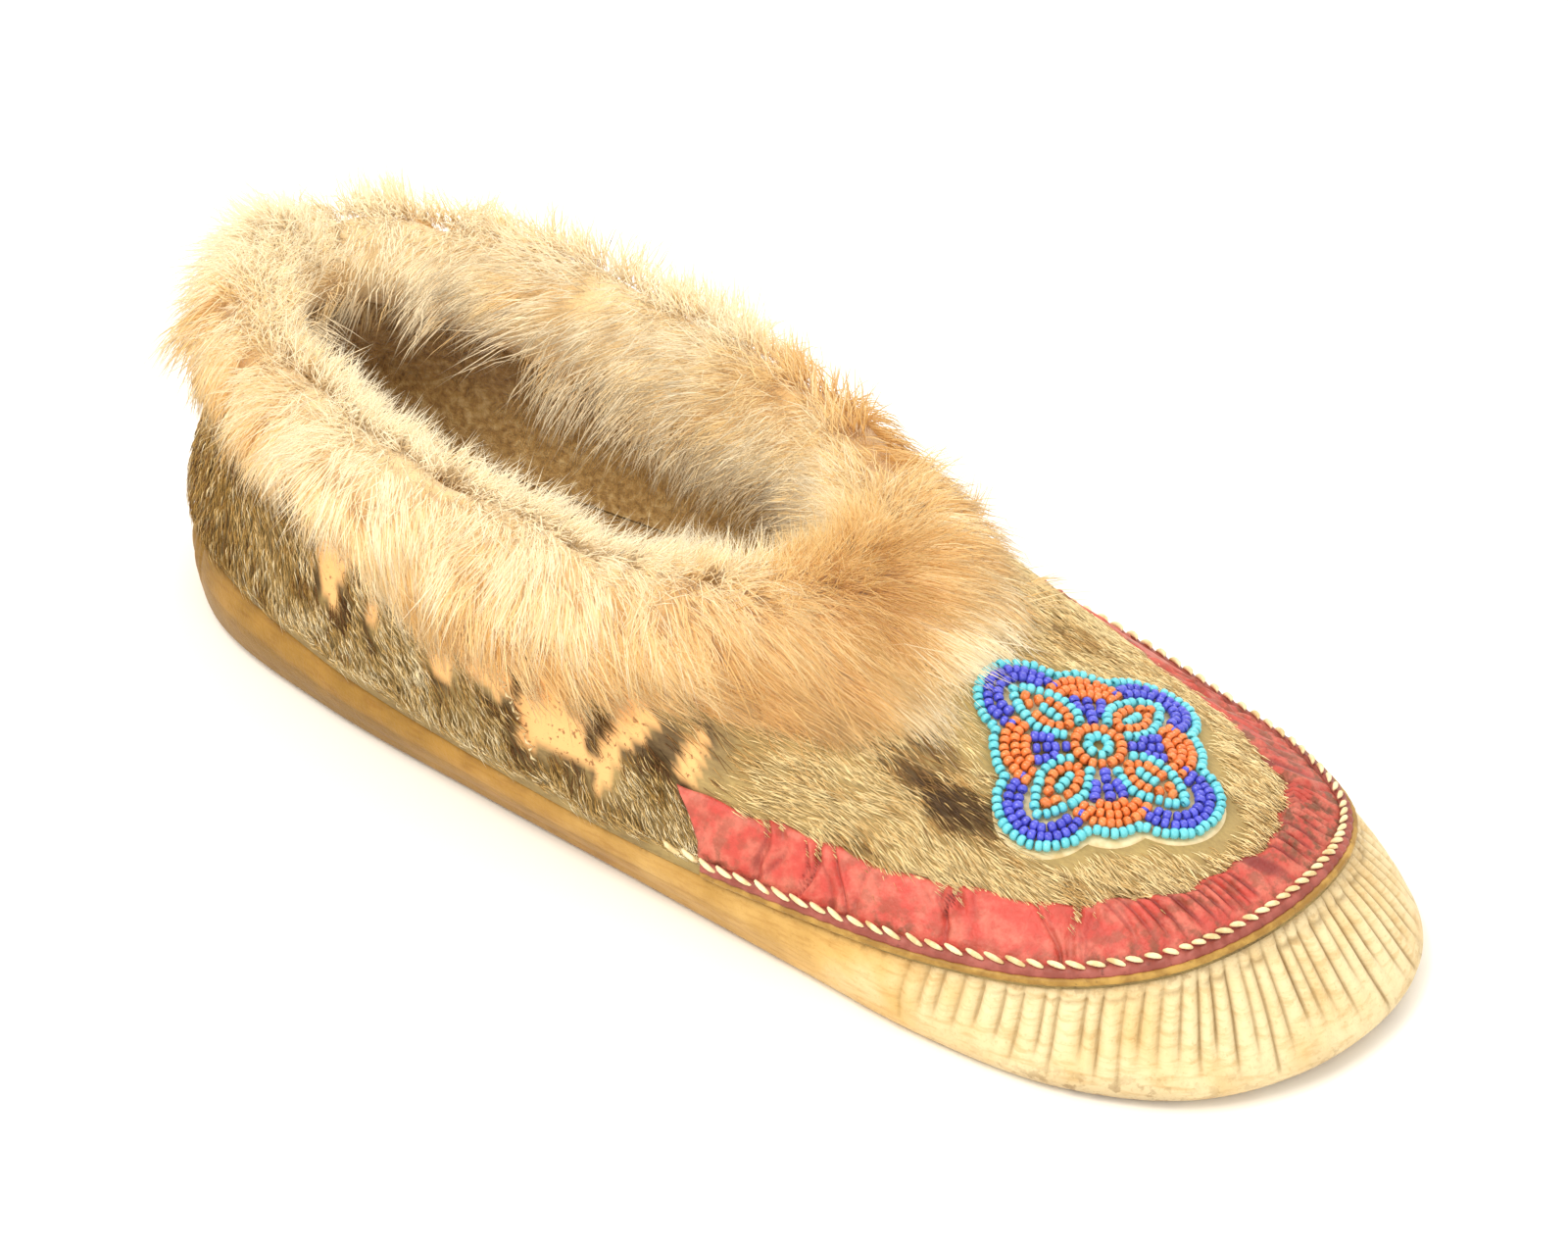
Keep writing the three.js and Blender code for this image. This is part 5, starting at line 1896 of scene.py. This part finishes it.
        # Darker inside, on the lateral side and low outside: partly the fur's own colour, partly painted shade.
        tone = 0.95 - 0.56 * smooth(0.42, 0.8, place) - 0.12 * smooth(0.4, 0.15, place) * lateral - 0.08 * lateral
        front = smooth(0.7, 0.9, half) * (1 - 0.6 * lateral)
        tone = tone - 0.22 * smooth(0.42, 0.62, half) * smooth(0.9, 0.5, place)
        tone = tone - 0.26 * front + 0.78 * front * smooth(0.55, 0.85, place)
        return tone + 0.6 * (mottle(points, 20, 111) - 0.5) + 0.4 * (mottle(points, 6, 112) - 0.5)

    def locks(
        self,
        name: str,
        spans: tuple[float, float],
        places: tuple[float, float],
        count: int,
        per: int,
        seed: int,
        stops: int,
    ) -> Piece:
        """Grows locks of hair on a part of the bed.

        Args:
            name: the piece's name.
            spans: the first and last turn.
            places: the first and last place over the bed, 0 inside and 1 outside.
            count: how many locks.
            per: how many hairs each has.
            seed: which random locks.
            stops: how many points each hair has, 3 or 4.

        Returns:
            The hair as one mesh.
        """
        rng = np.random.default_rng(seed)
        turn = rng.uniform(*spans, count)
        place = rng.uniform(*places, count)
        root, out, down = self._look(turn, place)
        around = np.mod(turn, 2.0)
        far = smooth(1.05, 1.25, around) * smooth(1.99, 1.88, around)
        outside = smooth(0.44 + 0.08 * far, 0.66 + 0.02 * far, place)
        inside = smooth(0.1 + 0.36 * far, 0.3 * far, place)
        # The crest's hair leans out over the near side and in over the far side, and is looser where it parts.
        over = (1.25 - 0.95 * smooth(0.15, 0.4, place)) * (1 - far) - 0.6 * far
        parting = np.exp(-(((place - 0.36 - 0.14 * far) / 0.1) ** 2))
        crown = 1 - outside - inside
        front = smooth(0.72, 0.95, halfway(turn))
        lateral = smooth(0.95, 1.1, around) * smooth(2.0, 1.95, around)
        along = np.cross(out, down)
        swirl = (mottle(root, 20, seed + 1) - 0.5) * 1.1 + (mottle(root, 8, seed + 2) - 0.5) * 0.5
        onward = 0.5 * outside + 0.4 * crown + (0.25 + 0.6 * lateral) * inside
        onward = onward * (1 - 0.65 * front * (1 - inside)) + swirl
        fore = FORWARD - out * np.sum(FORWARD * out, 1)[:, None]
        way = (
            out * (0.42 * outside + 0.6 * crown + 0.55 * inside)[:, None]
            + down * (0.9 * outside + (over + 0.35 * swirl) * crown - 0.75 * inside)[:, None]
            + along * onward[:, None]
            + fore * (0.35 * front * outside)[:, None]
        )
        way = unit(way + rng.normal(0, 0.07, (count, 3)))
        lengths = [column_at(FUR_FORM, around, k) for k in (4, 5, 6)]
        size = lengths[0] * inside + lengths[1] * crown + lengths[2] * outside
        size = size * rng.uniform(0.82, 1.15, count)
        sag = (down * 0.4 - out * 0.3) * outside[:, None] - UP * (0.4 * inside + 0.1 * crown)[:, None]
        lean = unit(way + sag * 1.3 + along * (swirl * 0.6)[:, None])

        n = count * per
        lock = np.repeat(np.arange(count), per)
        spread = rng.normal(0, 1.0, (n, 2)) * 2.6
        h_place = np.clip(place[lock] + spread[:, 1] / 62, 0.005, 0.985)
        h_root, h_out, _ = self._look(turn[lock] + spread[:, 0] / 330, h_place)
        stray = rng.random(n) < 0.07
        loose = (np.where(stray, 0.34, 0.09) + 0.08 * crown[lock] + 0.22 * parting[lock])[:, None]
        h_size = (size[lock] * rng.uniform(0.62, 1.08, n) * np.where(stray, 1.1, 1.0))[:, None]
        h_way = unit(way[lock] + rng.normal(0, 1, (n, 3)) * loose)
        h_lean = unit(lean[lock] + rng.normal(0, 1, (n, 3)) * loose)
        tight = 0.12 + 0.5 * (outside * smooth(0.6, 0.9, place))[lock]
        gather = (root[lock] - h_root) * np.where(stray, 0.05, tight)[:, None]
        h_root = h_root - h_out * 0.9
        if stops == 3:
            middle = h_root + h_way * h_size * 0.5 + gather * 0.3
            paths = np.stack([h_root, middle, middle + h_lean * h_size * 0.5 + gather * 0.5], 1)
        else:
            first = h_root + h_way * h_size * 0.36 + gather * 0.2
            second = first + unit(h_way * 0.45 + h_lean * 0.55) * h_size * 0.32 + gather * 0.4
            paths = np.stack([h_root, first, second, second + h_lean * h_size * 0.36 + gather * 0.4], 1)
        # Each lock's random tone also stands in for the shade between locks.
        tone = self._tone_and_shade(h_root, turn[lock], h_place) + rng.normal(0, 0.1, n) + rng.normal(0, 0.09, count)[lock]
        widths = rng.uniform(0.1, 0.18, n) * np.where(stray, 0.75, 1.0) * (0.85 if stops == 3 else 1.0)
        fur = strands(name, self._capped(paths), widths, {"tone": np.clip(tone, 0, 1)})
        # Light passes through fine hair, which is drawn thicker here than it is.
        fur.visible_shadow = False
        return fur

    def _capped(self, paths: Array) -> Array:
        """Presses hairs down that come near the ceiling, so that none passes it.

        Args:
            paths: (n, k, 3) points of the hairs in mm.

        Returns:
            The pressed paths.
        """
        margin = 6.0
        over = paths[..., 2] - self.ceiling + margin
        paths[..., 2] += np.where(over > 0, margin * np.tanh(over / margin) - over, 0)
        return paths

    def build(self) -> None:
        """Builds and dresses the bed and the hair."""
        dress(self._bed(), FurBed().material(), "fur", "fur_cuff")
        fur = LongFur().material()
        for lock in FUR_LOCKS:
            dress(self.locks(*lock), fur, "fur")


class Bead(Enum):
    """The rosette's three glass colours, each with its name, colour and deeper tone."""

    TURQUOISE = ("turquoise_glass", "#6FD3DF", "#5BC3D3")
    BLUE = ("blue_glass", "#565BD8", "#464AC4")
    ORANGE = ("orange_glass", "#EC8443", "#DE7233")


@dataclass
class Rosette:
    """The beaded flower: one tawed leather backing with single beads sewn down in rows."""

    form: FootForm
    bead: float = 1.07
    pitch: float = 1.62
    backing: float = 0.7
    seat: float = 0.7
    rows: dict[Bead, list[Array]] = field(default_factory=lambda: {colour: [] for colour in Bead})

    def _ground(self) -> BVHTree:
        """The vamp's surface, for looking up its height.

        Returns:
            The surface as a tree for rays.
        """
        points = self.form.points[::3, ::3] * MM
        rows, columns = points.shape[:2]
        i, j = np.indices((rows - 1, columns - 1)).reshape(2, -1)
        first = i * columns + j
        faces = np.stack([first, first + columns, first + columns + 1, first + 1], 1)
        return BVHTree.FromPolygons(points.reshape(-1, 3).tolist(), faces.tolist())

    def _on_vamp(self, xy: Array, height: float) -> tuple[Array, Array]:
        """Points that height over the vamp at places in the rosette's own plane, and their upward directions.

        Args:
            xy: (n, 2) places in mm.
            height: how far over the vamp, in mm.

        Returns:
            The points in mm and the directions.
        """
        points, normals = [], []
        for x, y in xy.reshape(-1, 2):
            spot = Vector(((x + ROSETTE_CENTRE[0]) * MM, (y + ROSETTE_CENTRE[1]) * MM, 0.1))
            hit, normal, _, _ = self.ground.ray_cast(spot, Vector((0, 0, -1)))
            points.append(np.array(hit) / MM)
            normals.append(np.array(normal) * (1 if normal.z > 0 else -1))
        points, normals = np.array(points), np.array(normals)
        return points + UP * height, normals

    def _string(self, colour: Bead, points: Row, closed: bool = False, fourfold: bool = True) -> None:
        """Strings beads along a curve through points, once on each of four sides if fourfold.

        Args:
            colour: the beads' colour.
            points: what the curve runs through, in mm.
            closed: whether it is a ring.
            fourfold: whether it is repeated on all four sides.
        """
        row = np.array(points, float)
        if closed:
            row = np.concatenate([row, row[:1]])
        steps = np.linspace(0, 1, 240)
        if len(row) > 2:
            knots = np.concatenate([row, np.zeros((len(row), 1))], 1)
            line = through(np.broadcast_to(knots, (len(steps), *knots.shape)), steps)[:, :2]
        else:
            line = row[0] + (row[1] - row[0]) * steps[:, None]
        gone = distances(line)
        count = max(1, round(gone[-1] / self.pitch)) + (0 if closed else 1)
        places = np.linspace(0, gone[-1], count + 1)[:-1] if closed else np.linspace(0, gone[-1], count)
        xy = on_line(line, gone, places)
        way = on_line(line, gone, places + 0.2) - on_line(line, gone, places - 0.2)
        for k in range(4 if fourfold else 1):
            c, s = math.cos(k * math.pi / 2), math.sin(k * math.pi / 2)
            self.rows[colour].append(np.concatenate([part @ np.array([[c, s], [-s, c]]) for part in (xy, way)], 1))

    @staticmethod
    def _arc(centre: float, radius: float, spread: float, angle: float = 0.0) -> Row:
        """Points of an arc about a place on a ray from the rosette's middle.

        Args:
            centre: how far out the place lies, in mm.
            radius: the arc's radius in mm.
            spread: how far it reaches to either side, in degrees.
            angle: the ray's direction.

        Returns:
            Nine points in mm.
        """
        around = np.radians(np.linspace(-spread, spread, 9))
        along, aside = centre + radius * np.cos(around), radius * np.sin(around)
        c, s = math.cos(angle), math.sin(angle)
        return [(a * c - b * s, a * s + b * c) for a, b in zip(along, aside)]

    def _chart(self) -> None:
        """Strings the flower: a small ring, four petals, blue crescents behind them and fans between them."""
        turquoise, blue, orange = Bead.TURQUOISE, Bead.BLUE, Bead.ORANGE
        for colour, radius in ((turquoise, 1.95), (orange, 4.25)):
            ring = [(radius * math.cos(a), radius * math.sin(a)) for a in np.arange(12) * math.pi / 6]
            self._string(colour, ring, closed=True, fourfold=False)
        half = [(6.1, 2.3), (8.0, 3.6), (10.6, 4.25), (13.5, 3.75), (16.4, 2.3)]
        self._string(turquoise, [(x, -y) for x, y in half] + [(19.0, 0.0)] + half[::-1])
        half = [(12.4, 2.1), (10.0, 2.3), (8.1, 1.55)]
        self._string(orange, [(x, -y) for x, y in half] + [(6.7, 0.0)] + half[::-1])
        self._string(orange, [(14.1, -1.1), (14.9, 1.0)])
        self._string(orange, [(16.4, 0.0), (16.5, 0.0)])
        self._string(turquoise, [(9.1, 0.0), (12.3, 0.0)])
        centre = 0.626 * ROSETTE_RADIUS
        self._string(blue, self._arc(centre, 6.85, 106))
        self._string(blue, self._arc(centre, 4.95, 86))
        diagonal, slant = 0.358 * ROSETTE_RADIUS, math.pi / 4
        self._string(orange, self._arc(diagonal, 7.9, 52, slant))
        self._string(orange, self._arc(diagonal, 5.95, 54, slant))
        self._string(orange, self._arc(diagonal, 4.1, 30, slant))
        for points in ([(6.1, 0.0), (11.3, 0.0)], [(8.6, 1.95), (11.4, 2.6)], [(8.6, -1.95), (11.4, -2.6)]):
            c = math.cos(slant)
            self._string(blue, [((a - b) * c, (a + b) * c) for a, b in points])
        angles = np.linspace(0, 2 * math.pi, 721)[:-1]
        reach = flower_edge(angles) - self.bead * 1.15
        reach = np.convolve(np.concatenate([reach[-4:], reach, reach[:4]]), np.ones(9) / 9, "valid")
        outline = np.stack([reach * np.cos(angles), reach * np.sin(angles)], 1)
        outline = np.concatenate([outline, outline[:1]])
        gone = distances(outline)
        places = np.linspace(0, gone[-1], round(gone[-1] / self.pitch) + 1)[:-1]
        xy = on_line(outline, gone, places)
        way = on_line(outline, gone, np.mod(places + 0.3, gone[-1])) - xy
        self.rows[turquoise].append(np.concatenate([xy, way], 1))

    def _bead_shape(self) -> tuple[Array, Array]:
        """A drawn and tumbled bead lying along its string: round, a little shorter than wide, dimpled at its hole.

        Returns:
            The points and the faces.
        """
        corners = 9
        profile = [(-0.45, 0.3), (-0.66, 0.7), (-0.3, 0.97), (0.3, 0.97), (0.66, 0.7), (0.45, 0.3)]
        angles = np.arange(corners) * 2 * math.pi / corners
        points = [(along * 1.06, r * math.cos(a), r * math.sin(a)) for along, r in profile for a in angles]
        return np.array(points) * self.bead, ring_faces(len(profile), corners, closed=True)

    def build(self) -> None:
        """Builds and dresses the backing and the beads."""
        self.ground = self._ground()
        self._chart()
        dress(self._backing(), BackingLeather().material(), "beads", "rosette")
        points, faces = self._bead_shape()
        rng = np.random.default_rng(131)
        for colour in Bead:
            name, light, deep = colour.value
            rows = np.concatenate(self.rows[colour])
            count = len(rows)
            jitter = rng.normal(0, 0.09, (count, 2))
            at, normal = self._on_vamp(rows[:, :2] + jitter, self.seat + self.backing + 0.82 * self.bead)
            at += UP * rng.normal(0, 0.1, count)[:, None]
            way = np.concatenate([unit(rows[:, 2:] + rng.normal(0, 0.03, (count, 2))), np.zeros((count, 1))], 1)
            way = unit(way - normal * np.sum(way * normal, 1)[:, None])
            side = np.cross(normal, way)
            size = rng.uniform(0.93, 1.05, count)[:, None, None]
            axes = np.stack([way * rng.uniform(0.9, 1.05, (count, 1)), side, normal * 0.96], 1) * size
            piece = copies(f"beads_{colour.name.lower()}", points, faces, at, axes)
            mark(piece, {"tone": np.repeat(rng.random(count), len(points))})
            dress(piece, BeadGlass(name, light, deep).material(), "beads")

    def _backing(self) -> Piece:
        """The backing: a thin scalloped plate that lies on the hair and shows a little outside the beads.

        Returns:
            The piece.
        """
        half = [0.0, 0.3, 0.6, 0.85, 0.97, 1.0]
        shares = np.array(half + half[::-1])
        heights = np.array([0.0] * 5 + [0.25, 0.75] + [1.0] * 5) * self.backing

        def place(u: Array, v: Array) -> Array:
            """Lays a point for each pair of shares."""
            row = np.rint(v * (len(shares) - 1)).astype(int)
            angle = u * 2 * math.pi
            near = np.clip(np.cos(angle + 1.0), 0, 1) ** 2
            reach = (flower_edge(angle) - 0.3 + 0.9 * near + 0.2 * np.sin(angle * 7 + 1)) * shares[row]
            xy = np.stack([reach * np.cos(angle), reach * np.sin(angle)], 1)
            return self._on_vamp(xy, 0)[0] + UP * (self.seat + heights[row] - 0.3)[:, None]

        return shaped_grid("rosette_backing", 240, len(shares) - 1, place)


@dataclass
class Studio:
    """White paper, soft lights and the camera, in mm."""

    eye: tuple[float, float, float] = (516.2, -701.9, 735.3)
    aim: tuple[float, float, float] = (1.0, 0.0, 33.0)
    right: tuple[float, float, float] = (0.7796, 0.6262, -0.0102)
    lens: float = 138.0

    def build(self) -> None:
        """Lays the floor and sets the lights and the camera."""
        bpy.ops.object.select_all(action="DESELECT")
        bpy.ops.mesh.primitive_plane_add(size=8, location=(0, 0, 0))
        floor = bpy.context.object
        floor.name = "studio_floor"
        floor.data.materials.append(StudioPaper().material())
        self._light("key", (-0.35, -0.75, 1.5), 0.9, 18.0, "#FFF8EC")
        self._light("fill", (1.2, -0.9, 0.9), 1.6, 8.0, "#FFFBF4")
        self._light("back", (-0.2, 1.2, 1.2), 1.3, 9.0, "#FFFDF8")
        world = bpy.data.worlds.new("soft_room")
        bpy.context.scene.world = world
        world.use_nodes = True
        background = world.node_tree.nodes["Background"]
        background.inputs["Color"].default_value = linear("#FFFAF1")
        background.inputs["Strength"].default_value = 0.95
        self._camera()
        bpy.context.scene.view_settings.view_transform = "Standard"

    @staticmethod
    def _light(name: str, place: tuple[float, float, float], size: float, power: float, colour: str) -> None:
        """Hangs one soft square light, in metres, that faces the shoe.

        Args:
            name: the light's name.
            place: where it hangs.
            size: how wide it is.
            power: its watts.
            colour: its hex colour.
        """
        bpy.ops.object.light_add(type="AREA", location=place)
        light = bpy.context.object
        light.name = f"{name}_light"
        light.data.size = size
        light.data.energy = power
        light.data.color = linear(colour)[:3]
        light.rotation_euler = (-Vector(place)).to_track_quat("-Z", "Y").to_euler()

    def _camera(self) -> None:
        """Sets the camera at the photograph's angle, framed on the one shoe."""
        camera = bpy.data.objects.new("camera", bpy.data.cameras.new("camera"))
        bpy.context.scene.collection.objects.link(camera)
        away = (Vector(self.eye) - Vector(self.aim)).normalized()
        right = Vector(self.right)
        right = (right - away * right.dot(away)).normalized()
        up = away.cross(right)
        turn = Matrix((right, up, away)).transposed().to_4x4()
        camera.matrix_world = Matrix.Translation(Vector(self.eye) * MM) @ turn
        camera.data.lens = self.lens
        camera.data.sensor_width = 36.0
        camera.data.clip_start = 0.01
        bpy.context.scene.camera = camera


def main() -> None:
    """Builds the shoe's sub-assemblies in order, then the studio."""
    logging.basicConfig(level=logging.INFO, format="%(message)s")
    form = FootForm()
    upper = Upper(form)
    for part in (Sole(form), upper, Band(form, upper), Cuff(form), Rosette(form), Studio()):
        log.info("building %s", type(part).__name__)
        part.build()


if __name__ == "__main__":
    main()
